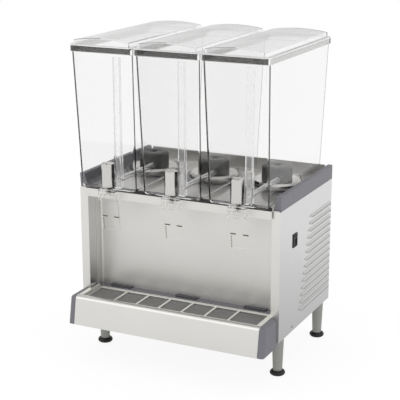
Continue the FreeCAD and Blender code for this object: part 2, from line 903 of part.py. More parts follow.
def rubber_feet():
    """Four moulded rubber feet with a swelling waist."""
    section = [(0, 0), (S.foot_sole_radius, 0), (S.foot_radius, S.foot_waist_low),
               (S.foot_radius, S.foot_waist_high), (S.foot_neck_radius, S.foot_height),
               (0, S.foot_height)]
    made = [turned(lambda o: o.polygon(section), x, y) for x, y in leg_places()]
    node(group(*made), "rubber_feet")


# Drip tray

def tray_roll_middle():
    """Give the setback of the middle of the roll along the top of the tray's front face."""
    spread = math.tan(math.radians(TRAY_ROLL_TURNS[0] / 2))
    return FRONT - S.tray_reach + S.tray_face_lean + S.tray_roll_radius * spread


def tray_roll(radius):
    """Give the points of the roll for one radius, from the front face back to its top."""
    middle = tray_roll_middle()
    level = S.tray_top - S.tray_roll_radius
    return [(middle - radius * math.sin(math.radians(turn)),
             level + radius * math.cos(math.radians(turn))) for turn in TRAY_ROLL_TURNS]


def tray_sections():
    """Give the tray's whole folded section and the section of its front face alone."""
    g = S.tray_gauge
    foot = FRONT - S.tray_reach
    lip = tray_roll_middle() + S.tray_lip_width
    trough = FRONT + S.tray_trough_front
    seat = trough - S.ledge_width
    rear = FRONT + S.tray_trough_rear
    inner_rear = rear - S.ledge_width
    top = S.tray_top
    ledge = S.ledge_height
    floor = S.tray_floor
    face = [(foot, S.tray_bottom), *tray_roll(S.tray_roll_radius), (lip, top), (seat, ledge)]
    back = [(seat - g, ledge - g), (lip - g, top - g), *reversed(tray_roll(S.tray_roll_radius - g)),
            (foot + g, S.tray_bottom)]
    trough_top = [(trough, ledge), (trough, floor + g), (inner_rear, floor + g),
                  (inner_rear, ledge), (rear, ledge), (rear, ledge + S.sill_height),
                  (rear + g, ledge + S.sill_height), (rear + g, ledge - g),
                  (inner_rear + g, ledge - g), (inner_rear + g, floor), (trough - g, floor),
                  (trough - g, ledge - g)]
    return face + trough_top + back, face + back


def drip_tray():
    """Folded stainless tray: leaning front face, rolled lip, grille ledges and trough."""
    part = Solid("drip_tray")
    whole, front_only = tray_sections()
    half = S.tray_width / 2
    trough_half = half - S.tray_end_inset
    g = S.tray_gauge
    part.pad("YZ", lambda o: o.polygon(whole), -trough_half, trough_half)
    part.pad("YZ", lambda o: o.polygon(front_only), trough_half, half)
    part.pad("YZ", lambda o: o.polygon(front_only), -half, -trough_half)
    lip = tray_roll_middle() + S.tray_lip_width
    seat = FRONT + S.tray_trough_front - S.ledge_width
    rear = FRONT + S.tray_trough_rear + g
    shelf_top = S.tray_top - g
    for sign in SIDES.values():
        wall = sorted((trough_half * sign, (trough_half + g) * sign), key=float)
        floor_end = [(FRONT + S.tray_trough_front - g, S.tray_floor),
                     (rear - S.ledge_width, S.tray_floor), (rear - S.ledge_width, S.ledge_height - g),
                     (rear, S.ledge_height - g), (rear, shelf_top), (lip - g, shelf_top),
                     (seat - g, S.ledge_height - g),
                     (FRONT + S.tray_trough_front - g, S.ledge_height - g)]
        part.pad("YZ", lambda o: o.polygon(floor_end), wall[0], wall[1])
        shelf = [(trough_half, lip - g), (half, lip - g), (half, FRONT - S.seat_gap),
                 (BAY_HALF - g * 2, FRONT - S.seat_gap), (BAY_HALF - g * 2, rear), (trough_half, rear)]
        part.pad("XY", lambda o: o.polygon([(x * sign, y) for x, y in shelf]), shelf_top - g, shelf_top)


def tray_end_cap(name):
    """Moulded cap that closes one end of the tray and runs back to the pillar."""
    sign = SIDES[name]
    part = Solid(f"tray_end_cap_{name}")
    inner = S.tray_width / 2
    foot = FRONT - S.tray_reach
    rear = FRONT - S.seat_gap
    lean = S.tray_face_lean * (S.cap_top - S.tray_bottom) / (S.tray_top - S.tray_bottom)
    section = [(foot, S.tray_bottom), (rear, S.tray_bottom), (rear, S.cap_top),
               (foot + lean, S.cap_top)]
    sides = sorted((inner * sign, (inner + S.cap_width) * sign), key=float)
    part.pad("YZ", lambda o: o.polygon(section), sides[0], sides[1])
    part.round(S.cap_nose_radius, lambda m, e: runs_along(e, "X") and near(m.z, S.cap_top)
               and m.y < float(rear) - 1)
    outer = (inner + S.cap_width) * sign
    part.round(S.cap_edge_radius, lambda m, e: near(m.x, outer) and m.y < float(rear) - 1
               and m.z > float(S.tray_bottom) + 1)


def grille_field(index):
    """Give the left and right sides of one open field of the grille."""
    count = int(S.grille_fields.value)
    half = S.tray_width / 2 - S.tray_end_inset - S.grille_end_gap
    extra = S.grille_end_extra
    wide = ((half - S.grille_border - extra) * 2 - S.grille_bar * (count - 1)) / count
    left = -half + S.grille_border + (wide + S.grille_bar) * index
    right = left + wide + extra
    if index > 0:
        left = left + extra
    if index == count - 1:
        right = right + extra
    return left, right


def cup_grille():
    """Stainless frame with cross bars that sits on the tray's ledges."""
    part = Solid("cup_grille")
    half = S.tray_width / 2 - S.tray_end_inset - S.grille_end_gap
    front = FRONT + S.tray_trough_front - S.ledge_width + S.grille_end_gap
    rear = FRONT + S.tray_trough_rear - S.grille_end_gap
    low = S.ledge_height + S.rest_gap
    part.pad("XY", lambda o: o.rectangle(-half, half, front, rear), low, low + S.grille_thickness)

    def fields(outline):
        for index in range(int(S.grille_fields.value)):
            left, right = grille_field(index)
            outline.rectangle(left, right, front + S.grille_border, rear - S.grille_border)

    part.pocket("XY", fields, low, low + S.grille_thickness)


def grille_inserts():
    """Slotted dark plates that hang under the fields of the grille."""
    front = FRONT + S.tray_trough_front + S.grille_end_gap
    rear = FRONT + S.tray_trough_rear - S.ledge_width - S.grille_end_gap
    top = S.ledge_height + S.rest_gap
    overlap = S.grille_bar / 3
    made = []
    for index in range(int(S.grille_fields.value)):
        left, right = grille_field(index)
        plate = block((left - overlap, right + overlap), (front, rear),
                      (top - S.insert_thickness, top))
        count = int(S.insert_slots.value)
        pitch = (right - left) / count
        slots = []
        for step in range(count):
            middle = left + pitch * (step + 0.5)
            slots.append(block((middle - S.insert_slot_width / 2, middle + S.insert_slot_width / 2),
                               (front + S.insert_margin, rear - S.insert_margin),
                               (top - S.insert_thickness * 2, top + S.insert_thickness)))
        made.append(cut(plate, *slots))
    node(group(*made), "grille_inserts")


def splash_sill():
    """Moulded strip behind the tray, with three raised pads."""
    part = Solid("splash_sill")
    face = FRONT + S.bay_depth
    front = FRONT + S.tray_trough_rear + S.tray_gauge * 2
    half = BAY_HALF - S.splash_bend - S.sheet_gauge - S.seat_gap
    low = S.ledge_height
    top = low + S.sill_height
    part.pad("XY", lambda o: o.rectangle(-half, half, front, face), low, top)

    def pads(outline):
        for step in (-1, 0, 1):
            middle = BAY_HALF * S.sill_pad_share * step
            outline.rectangle(middle - S.sill_pad_length / 2, middle + S.sill_pad_length / 2,
                              face - S.sill_pad_depth, face)

    part.pad("XY", pads, top, top + S.sill_pad_height)
    part.round(S.sill_pad_round, lambda m, e: runs_along(e, "Z") and m.z > float(top)
               and not near(m.y, face))


# Switch, inlet and screws

def switch_housing():
    """Switch body that clips into the right side panel, with its bezel and pivot holes."""
    y = FRONT + S.switch_setback
    z = S.switch_level
    wide = S.switch_width / 2
    tall = S.switch_height / 2
    wall = S.switch_wall
    bezel = block((HALF_WIDTH, HALF_WIDTH + S.switch_bezel), (y - wide, y + wide), (z - tall, z + tall))
    case = block((HALF_WIDTH - S.switch_body_depth, HALF_WIDTH), (y - wide + wall, y + wide - wall),
                 (z - tall + wall, z + tall - wall))
    hollow = block((HALF_WIDTH - S.switch_body_depth + wall * 2, HALF_WIDTH + S.switch_bezel * 2),
                   (y - wide + wall * 2, y + wide - wall * 2),
                   (z - tall + S.switch_end_wall, z + tall - S.switch_end_wall))
    pivot = rod(S.rocker_pin_radius + S.lever_pin_fit, S.switch_width, rocker_pivot_x(), y - wide,
                z, "Y")
    node(cut(join(bezel, case), hollow, pivot), "switch_housing")


def rocker_pivot_x():
    """Give the place of the rocker's pivot across the dispenser."""
    return HALF_WIDTH - S.switch_body_depth / 3


def rocker():
    """Rocker of the switch, resting tilted on its pivot stubs."""
    part = Solid("rocker")
    wide = S.switch_width / 2 - S.switch_wall * 2 - S.rocker_gap
    tall = S.switch_height / 2 - S.switch_end_wall - S.rocker_end_gap
    crest = S.switch_body_depth / 3 + S.rocker_proud
    section = [(-S.rocker_back, -tall), (crest, -tall), (crest - S.switch_bezel, 0), (crest, tall),
               (-S.rocker_back, tall)]
    part.pad("XZ", lambda o: o.polygon(section), -wide, wide)
    stub = S.switch_width / 2 - S.switch_wall - S.rocker_gap
    part.pad("XZ", lambda o: o.circle(0, 0, S.rocker_pin_radius), -stub, stub)
    part.body.Placement = Placement(Vector(), Rotation(Vector(0, 1, 0), float(S.rocker_tilt)))
    bind(part.body, "Placement.Rotation.Angle", S.rocker_tilt)
    place(part.body, rocker_pivot_x(), FRONT + S.switch_setback, S.switch_level)


def power_inlet():
    """Recessed three pin power inlet in the rear cover."""
    x = -S.inlet_offset
    z = S.inlet_level
    outer = FRONT + REAR_COVER
    wide = S.inlet_width / 2
    tall = S.inlet_height / 2
    wall = S.inlet_wall
    case = block((x - wide, x + wide), (outer - S.inlet_depth, outer), (z - tall, z + tall))
    flange = block((x - wide - S.inlet_flange, x + wide + S.inlet_flange),
                   (outer, FRONT + REAR_REACH), (z - tall - wall, z + tall + wall))
    recess = block((x - wide + wall, x + wide - wall),
                   (outer - S.inlet_depth + wall, outer + S.inlet_depth),
                   (z - tall + wall, z + tall - wall))
    pins = []
    for across, up in ((-1, -0.5), (0, 0.5), (1, -0.5)):
        px = x + S.inlet_pin_pitch * across
        pz = z + S.inlet_pin_pitch * up
        pins.append(block((px - S.inlet_pin / 4, px + S.inlet_pin / 4),
                          (outer - S.inlet_depth + wall / 2, outer - wall),
                          (pz - S.inlet_pin / 2, pz + S.inlet_pin / 2)))
    node(join(cut(join(case, flange), recess), *pins), "power_inlet")


def panel_screws():
    """Six-sided screws of the side panels and the rear cover."""
    made = []
    for x, z in rear_screw_places():
        head = hexagon(S.screw_head_radius, S.screw_head_height, x, FRONT + REAR_COVER, z, "Y")
        shank = hexagon(S.screw_shank_radius, S.screw_shank_length, x,
                        FRONT + REAR_COVER - S.screw_shank_length, z, "Y")
        made.append(join(head, shank))
    for sign in SIDES.values():
        head_x = HALF_WIDTH if sign > 0 else -HALF_WIDTH - S.screw_head_height
        shank_x = HALF_WIDTH - S.screw_shank_length if sign > 0 else -HALF_WIDTH
        y = FRONT + S.side_screw_setback
        head = hexagon(S.screw_head_radius, S.screw_head_height, head_x, y, S.side_screw_level, "X")
        shank = hexagon(S.screw_shank_radius, S.screw_shank_length, shank_x, y, S.side_screw_level, "X")
        made.append(join(head, shank))
    node(group(*made), "panel_screws")


# Bowls and lids

def bowl_shell(c):
    """Clear tapered bowl wall with its thick rim, before its floor is opened."""
    wall = S.bowl_wall
    foot = S.bowl_foot_width / 2
    mouth = S.bowl_mouth_width / 2
    rim_low = RIM_TOP - S.rim_depth
    foot_front = FRONT + S.bowl_foot_front
    foot_rear = FRONT + S.bowl_foot_rear
    mouth_front = FRONT + S.bowl_mouth_front
    mouth_rear = FRONT + S.bowl_mouth_rear
    outer = tapered((c - foot, c + foot, foot_front, foot_rear),
                    (c - mouth, c + mouth, mouth_front, mouth_rear), BOWL_FOOT, RIM_TOP)
    inner = tapered((c - foot + wall, c + foot - wall, foot_front + wall, foot_rear - wall),
                    (c - mouth + wall, c + mouth - wall, mouth_front + wall, mouth_rear - wall),
                    BOWL_FLOOR, RIM_TOP)
    outer = soften(outer, bowl_edges(BOWL_FOOT, 0, S.bowl_front_edge_radius))
    inner = soften(inner, bowl_edges(BOWL_FLOOR, wall, S.bowl_inner_edge_radius))
    ledge = S.rim_ledge
    rim = block((c - mouth - ledge, c + mouth + ledge), (mouth_front - ledge, mouth_rear + ledge),
                (rim_low, RIM_TOP))
    rim = soften(rim, [(S.rim_corner_radius, lambda m, e: runs_along(e, "Z"))])
    return cut(join(outer, rim), inner)


def bowl_edges(level, wall, front_radius):
    """Choose the rounded edges of a bowl loft: corners, long foot edges and front foot edge."""
    corner = S.bowl_corner_radius - wall
    foot = S.bowl_foot_radius - wall
    return [
        (corner, lambda m, e: runs_along(e, "Z")),
        (foot, lambda m, e: near(m.z, level) and (runs_along(e, "Y") or m.y > 0)),
        (front_radius, lambda m, e: near(m.z, level)),
    ]


def bowl(name):
    """Clear bowl with the collar round the cold plate and the port of its tap."""
    c = bowl_centre(BOWL_STEPS[name])
    bore = S.plate_radius + S.collar_gap
    collar = rod(bore + S.collar_wall, S.collar_height + S.bowl_wall, c, PLATE_Y, BOWL_FOOT)
    opening = rod(bore, S.collar_height * 3, c, PLATE_Y, BOWL_FOOT - S.collar_height)
    port = rod(S.port_radius, S.collar_height, c - S.sleeve_offset, PORT_Y,
               BOWL_FLOOR - S.collar_height + S.bowl_wall)
    node(cut(join(bowl_shell(c), collar), opening, port), f"bowl_{name}")


def arch(c, half, foot, side, crown):
    """Give a drawing of an upright outline with an arched top."""
    spring = foot + side
    radius = (half * half / crown + crown) / 2

    def draw(outline):
        sketch = outline.sketch
        corners = [(c + half, spring), (c + half, foot), (c - half, foot), (c - half, spring)]
        points = [Vector(float(u), float(v), 0) for u, v in corners]
        for first, second in zip(points, points[1:]):
            sketch.addGeometry(Part.LineSegment(first, second), False)
        top = Vector(float(c), float(spring + crown), 0)
        sketch.addGeometry(Part.Arc(points[0], top, points[3]), False)
        sketch.addConstraint(Sketcher.Constraint("Coincident", 0, 2, 1, 1))
        sketch.addConstraint(Sketcher.Constraint("Coincident", 1, 2, 2, 1))
        sketch.addConstraint(Sketcher.Constraint("Coincident", 3, 2, 2, 2))
        sketch.addConstraint(Sketcher.Constraint("Coincident", 3, 1, 0, 1))
        for geometry, corner in enumerate(corners[1:]):
            outline.fix(geometry, 2, *corner)
        outline.fix(0, 1, *corners[0])
        centre = spring + crown - radius
        rule = Sketcher.Constraint("DistanceY", -1, 1, 3, 3, float(centre))
        index = sketch.addConstraint(rule)
        sketch.setExpression(f"Constraints[{index}]", centre.text)

    return draw


def lid(name):
    """Clear arched lid with a flat flange on the rim and a lip inside the mouth."""
    c = as_size(bowl_centre(BOWL_STEPS[name]))
    wall = S.lid_wall
    half = S.bowl_mouth_width / 2 + S.rim_ledge
    front = FRONT + S.bowl_mouth_front - S.rim_ledge
    rear = FRONT + S.bowl_mouth_rear + S.rim_ledge
    seat = RIM_TOP + S.seat_gap
    flange = block((c - half, c + half), (front, rear), (seat, seat + wall))
    flange = soften(flange, [(S.rim_corner_radius, lambda m, e: runs_along(e, "Z"))])
    vault_half = half - S.lid_flange
    near_end = front + S.lid_flange / 2
    far_end = rear - S.lid_flange / 2
    vault = drawn_out("XZ", arch(c, vault_half, seat, S.lid_side_rise, S.lid_crown_rise),
                      near_end, far_end)
    lip_half = S.bowl_mouth_width / 2 - S.bowl_wall - S.lid_lip_gap
    lip_front = FRONT + S.bowl_mouth_front + S.bowl_wall + S.lid_lip_gap
    lip_rear = FRONT + S.bowl_mouth_rear - S.bowl_wall - S.lid_lip_gap
    lip = block((c - lip_half, c + lip_half), (lip_front, lip_rear), (seat - S.lid_lip_depth, seat))
    lip = soften(lip, [(S.bowl_corner_radius - S.bowl_wall, lambda m, e: runs_along(e, "Z"))])
    hollow = drawn_out("XZ", arch(c, vault_half - wall, seat - S.lid_lip_depth,
                                  S.lid_side_rise + S.lid_lip_depth - wall, S.lid_crown_rise),
                       near_end + wall * 2, far_end - wall * 2)
    node(cut(join(flange, vault, lip), hollow), f"lid_{name}")


# Cold plates, gaskets and pumps

def cold_plates():
    """Three chilled plates on the deck, each with a neck below and a pump pin on top."""
    made = []
    low = SIDE_TOP - S.plate_neck_drop
    height = PLATE_TOP - low
    deck = DECK_TOP - low
    pin = height + S.impeller_vane_height + S.impeller_disc + S.plate_edge_radius
    edge = S.plate_edge_radius
    section = [(0, 0), (S.plate_neck_radius, 0), (S.plate_neck_radius, deck), (S.plate_radius, deck),
               (S.plate_radius, height - edge), (S.plate_radius - edge, height),
               (S.plate_pin_radius, height), (S.plate_pin_radius, pin), (0, pin)]
    for step in BOWL_STEPS.values():
        made.append(turned(lambda o: o.polygon(section), bowl_centre(step), PLATE_Y, low))
    node(group(*made), "cold_plates")


def plate_gaskets():
    """Rubber rings round the foot of each cold plate, under the bowls."""
    made = []
    bore = S.plate_radius + S.seat_gap
    for step in BOWL_STEPS.values():
        c = bowl_centre(step)
        ring = rod(bore + S.gasket_width, S.rest_strip_height, c, PLATE_Y, DECK_TOP)
        made.append(cut(ring, rod(bore, S.rest_strip_height * 3, c, PLATE_Y,
                                  DECK_TOP - S.rest_strip_height)))
    node(group(*made), "plate_gaskets")


def rest_strip():
    """Black rubber strip along the front of the deck, under the bowls."""
    part = Solid("rest_strip")
    half = BAY_HALF
    front = FRONT - S.deck_overhang
    part.pad("XY", lambda o: o.rectangle(-half, half, front, front + S.rest_strip_depth),
             DECK_TOP, STRIP_TOP)


def pump_cover(name):
    """Round pump cover with its top intake and a nozzle that leaves along one side."""
    c = bowl_centre(BOWL_STEPS[name])
    wall = S.pump_cover_wall
    foot = PLATE_TOP + S.seat_gap
    radius = S.pump_cover_radius
    height = S.pump_cover_height
    edge = S.pump_cover_edge
    section = [(0, 0), (radius, 0), (radius, height - edge), (radius - edge, height), (0, height)]
    shell = turned(lambda o: o.polygon(section), c, PLATE_Y, foot)
    nozzle_y = PLATE_Y - radius - S.pump_nozzle_reach
    x = c + S.tube_offset
    z = BOWL_FLOOR + S.duct_rise
    nozzle = rod(S.pump_nozzle_radius, S.pump_nozzle_reach + radius, x, nozzle_y, z, "Y")
    bore = rod(S.pump_nozzle_bore, S.pump_nozzle_reach * 2 + radius, x,
               nozzle_y - S.pump_nozzle_reach, z, "Y")
    intake = rod(S.impeller_boss_radius, height, c, PLATE_Y, foot + wall)
    hollow = rod(radius - wall, height, c, PLATE_Y, foot - wall)
    node(cut(join(shell, nozzle), hollow, bore, intake), f"pump_cover_{name}")


def impeller(name):
    """Pump impeller with straight vanes on a disc, turning on the cold plate's pin."""
    c = bowl_centre(BOWL_STEPS[name])
    foot = PLATE_TOP + S.pump_cover_wall
    top = foot + S.impeller_disc + S.impeller_vane_height
    disc = rod(S.impeller_radius, S.impeller_disc, c, PLATE_Y, foot)
    boss = rod(S.impeller_boss_radius, S.impeller_disc + S.impeller_vane_height, c, PLATE_Y, foot)
    vanes = []
    count = int(S.impeller_vanes.value)
    for index in range(count):
        vane = DOC.addObject("Part::Box", "vane")
        bind(vane, "Length", S.impeller_radius - S.impeller_disc)
        bind(vane, "Width", S.impeller_vane_width)
        bind(vane, "Height", S.impeller_vane_height)
        turn = Rotation(Vector(0, 0, 1), 360 * index / count)
        start = turn.multVec(Vector(0, -float(S.impeller_vane_width) / 2, 0))
        vane.Placement = Placement(start + Vector(float(c), float(PLATE_Y),
                                                  float(foot + S.impeller_disc)), turn)
        vanes.append(vane)
    pin = rod(S.plate_pin_radius + S.lever_pin_fit, (top - foot) * 2, c, PLATE_Y,
              foot - S.impeller_disc)
    node(cut(join(disc, boss, *vanes), pin), f"impeller_{name}")


def pump_motors():
    """Three pump motors with round flanges against the necks of the cold plates."""
    made = []
    top = SIDE_TOP - S.plate_neck_drop
    low = top - S.motor_flange_thickness - S.motor_height
    edge = S.plate_edge_radius
    shoulder = S.motor_height
    height = shoulder + S.motor_flange_thickness
    section = [(0, 0), (S.motor_radius - edge, 0), (S.motor_radius, edge), (S.motor_radius, shoulder),
               (S.motor_flange_radius, shoulder), (S.motor_flange_radius, height), (0, height)]
    for step in BOWL_STEPS.values():
        made.append(turned(lambda o: o.polygon(section), bowl_centre(step), PLATE_Y, low))
    node(group(*made), "pump_motors")


def spray_tube(name):
    """Clear flat riser behind the front wall, with its foot and the duct from the pump."""
    c = bowl_centre(BOWL_STEPS[name])
    x = c + S.tube_offset
    y = FRONT + S.tube_setback
    foot = BOWL_FLOOR + S.rest_gap
    top = RIM_TOP - S.tube_top_gap
    wall = S.tube_wall
    duct_z = BOWL_FLOOR + S.duct_rise
    wide = S.tube_width / 2
    deep = S.tube_depth / 2
    riser = block((x - wide, x + wide), (y - deep, y + deep), (foot, top))
    base = block((x - S.tube_foot_width / 2, x + S.tube_foot_width / 2),
                 (y - S.tube_foot_depth / 2, y + S.tube_foot_depth / 2),
                 (foot, foot + S.tube_foot_height))
    base = soften(base, [(S.tube_foot_edge, lambda m, e: runs_along(e, "Z"))])
    duct_end = PLATE_Y - S.pump_cover_radius - S.pump_nozzle_reach - S.seat_gap
    duct = rod(S.duct_radius, duct_end - y, x, y, duct_z, "Y")
    bore = block((x - wide + wall, x + wide - wall), (y - deep + wall, y + deep - wall),
                 (duct_z - S.duct_radius + wall, top + wall))
    duct_bore = rod(S.duct_radius - wall, duct_end - y + wall, x, y, duct_z, "Y")
    node(cut(join(riser, base, duct), bore, duct_bore), f"spray_tube_{name}")


# Taps

def valve_sleeve(name):
    """Stainless sleeve over the tap's port, with side windows and a guide hole on top."""
    x = bowl_centre(BOWL_STEPS[name]) - S.sleeve_offset
    y = FRONT + S.sleeve_setback
    foot = BOWL_FLOOR + S.rest_gap
    wall = S.sleeve_wall
    shell = rod(S.sleeve_radius, S.sleeve_height, x, y, foot)
    hollow = rod(S.sleeve_radius - wall, S.sleeve_height, x, y, foot - wall)
    reach = S.sleeve_radius * 2
    window = block((x - reach, x + reach),
                   (y + S.sleeve_window_start, y + S.sleeve_window_start + S.sleeve_window_width),
                   (foot - wall, foot + S.sleeve_window_height))
    guide = rod(S.stem_radius + S.stem_fit, S.sleeve_height * 2, x, PORT_Y, foot)
    node(cut(shell, hollow, window, guide), f"valve_sleeve_{name}")


def stem_foot():
    """Give the level of the lower end of a valve stem, just over the lever's toe."""
    return PIVOT_Z - S.lever_toe_drop + S.seat_gap


def valve_plunger(name):
    """Valve stem with the disc that closes the port from above."""
    part = Solid(f"valve_plunger_{name}")
    low = stem_foot()
    seat = BOWL_FLOOR + S.rest_gap - low
    top = BOWL_FLOOR + S.stem_rise - low
    section = [(0, 0), (S.stem_radius, 0), (S.stem_radius, seat), (S.seat_radius, seat),
               (S.seat_radius, seat + S.seat_thickness / 2),
               (S.stem_radius, seat + S.seat_thickness), (S.stem_radius, top), (0, top)]
    part.turn(lambda o: o.polygon(section))
    place(part.body, as_size(bowl_centre(BOWL_STEPS[name]) - S.sleeve_offset), PORT_Y, low)


def tap_housing(name):
    """Tap housing under the bowl's front, open below and behind, with its short nozzle."""
    c = bowl_centre(BOWL_STEPS[name])
    part = Solid(f"tap_housing_{name}")
    half = S.tap_width / 2
    front = FRONT + S.tap_front
    wall = S.tap_wall
    part.pad("XY", lambda o: o.rectangle(c - half, c + half, front, TAP_REAR), TAP_FOOT, TAP_TOP)
    part.round(S.tap_corner_radius, lambda m, e: runs_along(e, "Z") and near(m.y, front))
    roof = TAP_TOP - S.tap_roof
    part.pocket("XY", lambda o: o.rectangle(c - half + wall, c + half - wall, front + wall, TAP_REAR),
                TAP_FOOT, roof)
    x = c - S.sleeve_offset
    part.pad("XY", lambda o: o.circle(x, PORT_Y, S.tap_nozzle_radius), roof - S.tap_nozzle_drop, roof)
    part.pocket("XY", lambda o: o.circle(x, PORT_Y, S.port_radius), roof - S.tap_nozzle_drop, TAP_TOP)
    part.pocket("YZ", lambda o: o.circle(PIVOT_Y, PIVOT_Z, S.lever_pin_radius + S.lever_pin_fit),
                c - half, c + half)


def tap_lever(name):
    """Clear push lever: hub, pivot stubs, toe under the valve stem and broad paddle."""
    c = bowl_centre(BOWL_STEPS[name])
    half = S.tap_width / 2
    hub_half = half - S.tap_wall - S.lever_side_gap
    thick = S.lever_thickness / 2
    hub = rod(S.lever_hub_radius, hub_half * 2, c - hub_half, PIVOT_Y, PIVOT_Z, "X")
    stub_half = half - S.seat_gap
    stubs = rod(S.lever_pin_radius, stub_half * 2, c - stub_half, PIVOT_Y, PIVOT_Z, "X")
    neck_y = PIVOT_Y + S.lever_neck_lean
    neck_z = PIVOT_Z - S.lever_neck_drop
    foot_y = PIVOT_Y + S.lever_lean
    foot_z = PIVOT_Z - S.lever_drop
    neck = [(PIVOT_Y - thick, PIVOT_Z), (neck_y - thick, neck_z), (neck_y + thick, neck_z),
            (PIVOT_Y + thick, PIVOT_Z)]
    paddle = [(neck_y - thick, neck_z), (foot_y - thick, foot_z), (foot_y + thick, foot_z),
              (neck_y + thick, neck_z)]
    arm = drawn_out("YZ", lambda o: o.polygon(neck), c - hub_half, c + hub_half)
    wide = S.lever_width / 2
    blade = drawn_out("YZ", lambda o: o.polygon(paddle), c - wide, c + wide)
    blade = soften(blade, [(S.lever_edge_radius, lambda m, e: near(m.z, foot_z)
                            and near(abs(m.x - float(c)), wide))])
    x = c - S.sleeve_offset
    toe_top = PIVOT_Z - S.lever_toe_drop
    toe = block((x - S.lever_toe_width / 2, x + S.lever_toe_width / 2),
                (PIVOT_Y, PIVOT_Y + S.lever_toe_length), (toe_top - S.lever_toe_thickness, toe_top))
    node(join(hub, stubs, arm, blade, toe), f"tap_lever_{name}")


# Cooling machinery

def compressor():
    """Sealed compressor: domed can with a flat crown, on a square mounting plate."""
    x = S.compressor_offset
    y = FRONT + S.compressor_setback
    plate_low = FLOOR_PLATE + S.compressor_mount_height
    half = S.compressor_plate_width / 2
    plate = block((x - half, x + half), (y - half, y + half),
                  (plate_low, plate_low + S.compressor_plate))
    foot = plate_low + S.compressor_plate
    dome = S.compressor_dome
    radius = S.compressor_radius
    top = S.compressor_height
    section = [(0, 0), (radius - dome, 0), (radius, dome), (radius, top - dome),
               (radius - dome / 2, top - dome / 4), (radius - dome, top), (0, top)]
    can = turned(lambda o: o.polygon(section), x, y, foot)
    node(join(plate, can), "compressor")


def compressor_mounts():
    """Four rubber mounts between the compressor's plate and the cabinet floor."""
    x = S.compressor_offset
    y = FRONT + S.compressor_setback
    inset = S.compressor_plate_width / 2 - S.compressor_mount_radius
    made = []
    for dx in (-1, 1):
        for dy in (-1, 1):
            made.append(rod(S.compressor_mount_radius, S.compressor_mount_height, x + inset * dx,
                            y + inset * dy, FLOOR_PLATE))
    node(group(*made), "compressor_mounts")


def condenser():
    """Finned condenser: end plates, fins and the flat tube rows through them."""
    half = S.condenser_thickness / 2
    x = S.condenser_offset
    front = FRONT + S.condenser_front
    low = FLOOR_PLATE + S.condenser_base
    count = int(S.condenser_fins.value)
    pitch = (S.condenser_length - S.condenser_fin) / (count - 1)
    pieces = []
    for index in range(count):
        y = front + pitch * index
        foot = FLOOR_PLATE if index in (0, count - 1) else low
        pieces.append(block((x - half, x + half), (y, y + S.condenser_fin),
                            (foot, low + S.condenser_height)))
    deep = half - S.condenser_tube_inset
    rows = int(S.condenser_rows.value)
    for row in range(rows):
        z = low + S.condenser_height * (row + 0.5) / rows
        pieces.append(block((x - deep, x + deep), (front, front + S.condenser_length),
                            (z, z + S.condenser_tube_height)))
    crown = block((x - half, x + half), (front, front + S.condenser_length),
                  (low + S.condenser_height - S.condenser_fin, low + S.condenser_height))
    node(join(crown, *pieces), "condenser")


def fan_place():
    """Give the fan's axis, along the dispenser's depth and height."""
    y = FRONT + S.condenser_front + S.condenser_length / 2
    z = FLOOR_PLATE + S.condenser_base + S.condenser_height / 2
    return y, z


def fan_motor():
    """Fan motor with its shaft, on an upright bracket from the cabinet floor."""
    y, z = fan_place()
    can_front = S.fan_offset - S.fan_shaft_reach
    can = rod(S.fan_motor_radius, S.fan_motor_length, can_front - S.fan_motor_length, y, z, "X")
    shaft = rod(S.fan_shaft_radius, S.fan_shaft_reach + S.fan_hub_length, can_front, y, z, "X")
    gauge = S.fan_bracket_gauge
    back = can_front - S.fan_motor_length
    wide = S.fan_bracket_width / 2
    upright = block((back - gauge, back), (y - wide, y + wide), (FLOOR_PLATE, z + S.fan_motor_radius))
    foot = block((back - gauge, back + wide), (y - wide, y + wide), (FLOOR_PLATE, FLOOR_PLATE + gauge))
    node(join(can, shaft, upright, foot), "fan_motor")


def fan_blade():
    """Five pitched blades round a hub on the fan motor's shaft."""
    y, z = fan_place()
    hub = rod(S.fan_hub_radius, S.fan_hub_length, S.fan_offset, y, z, "X")
    middle = Vector(float(S.fan_offset + S.fan_hub_length / 2), float(y), float(z))
    blades = []
    count = int(S.fan_blades.value)
    for index in range(count):
        blade = DOC.addObject("Part::Box", "blade")
        bind(blade, "Length", S.fan_blade_thickness)
        bind(blade, "Width", S.fan_blade_width)
        bind(blade, "Height", S.fan_radius - S.fan_hub_radius / 2)
        around = Rotation(Vector(1, 0, 0), 360 * index / count)
        pitch = Rotation(Vector(0, 0, 1), float(S.fan_blade_pitch))
        turn = around.multiply(pitch)
        corner = Vector(-float(S.fan_blade_thickness) / 2, -float(S.fan_blade_width) / 2,
                        float(S.fan_hub_radius) / 2)
        blade.Placement = Placement(middle + turn.multVec(corner), turn)
        blades.append(blade)
    bore = rod(S.fan_shaft_radius + S.fan_shaft_fit, S.fan_hub_length * 3,
               S.fan_offset - S.fan_hub_length, y, z, "X")
    node(cut(join(hub, *blades), bore), "fan_blade")


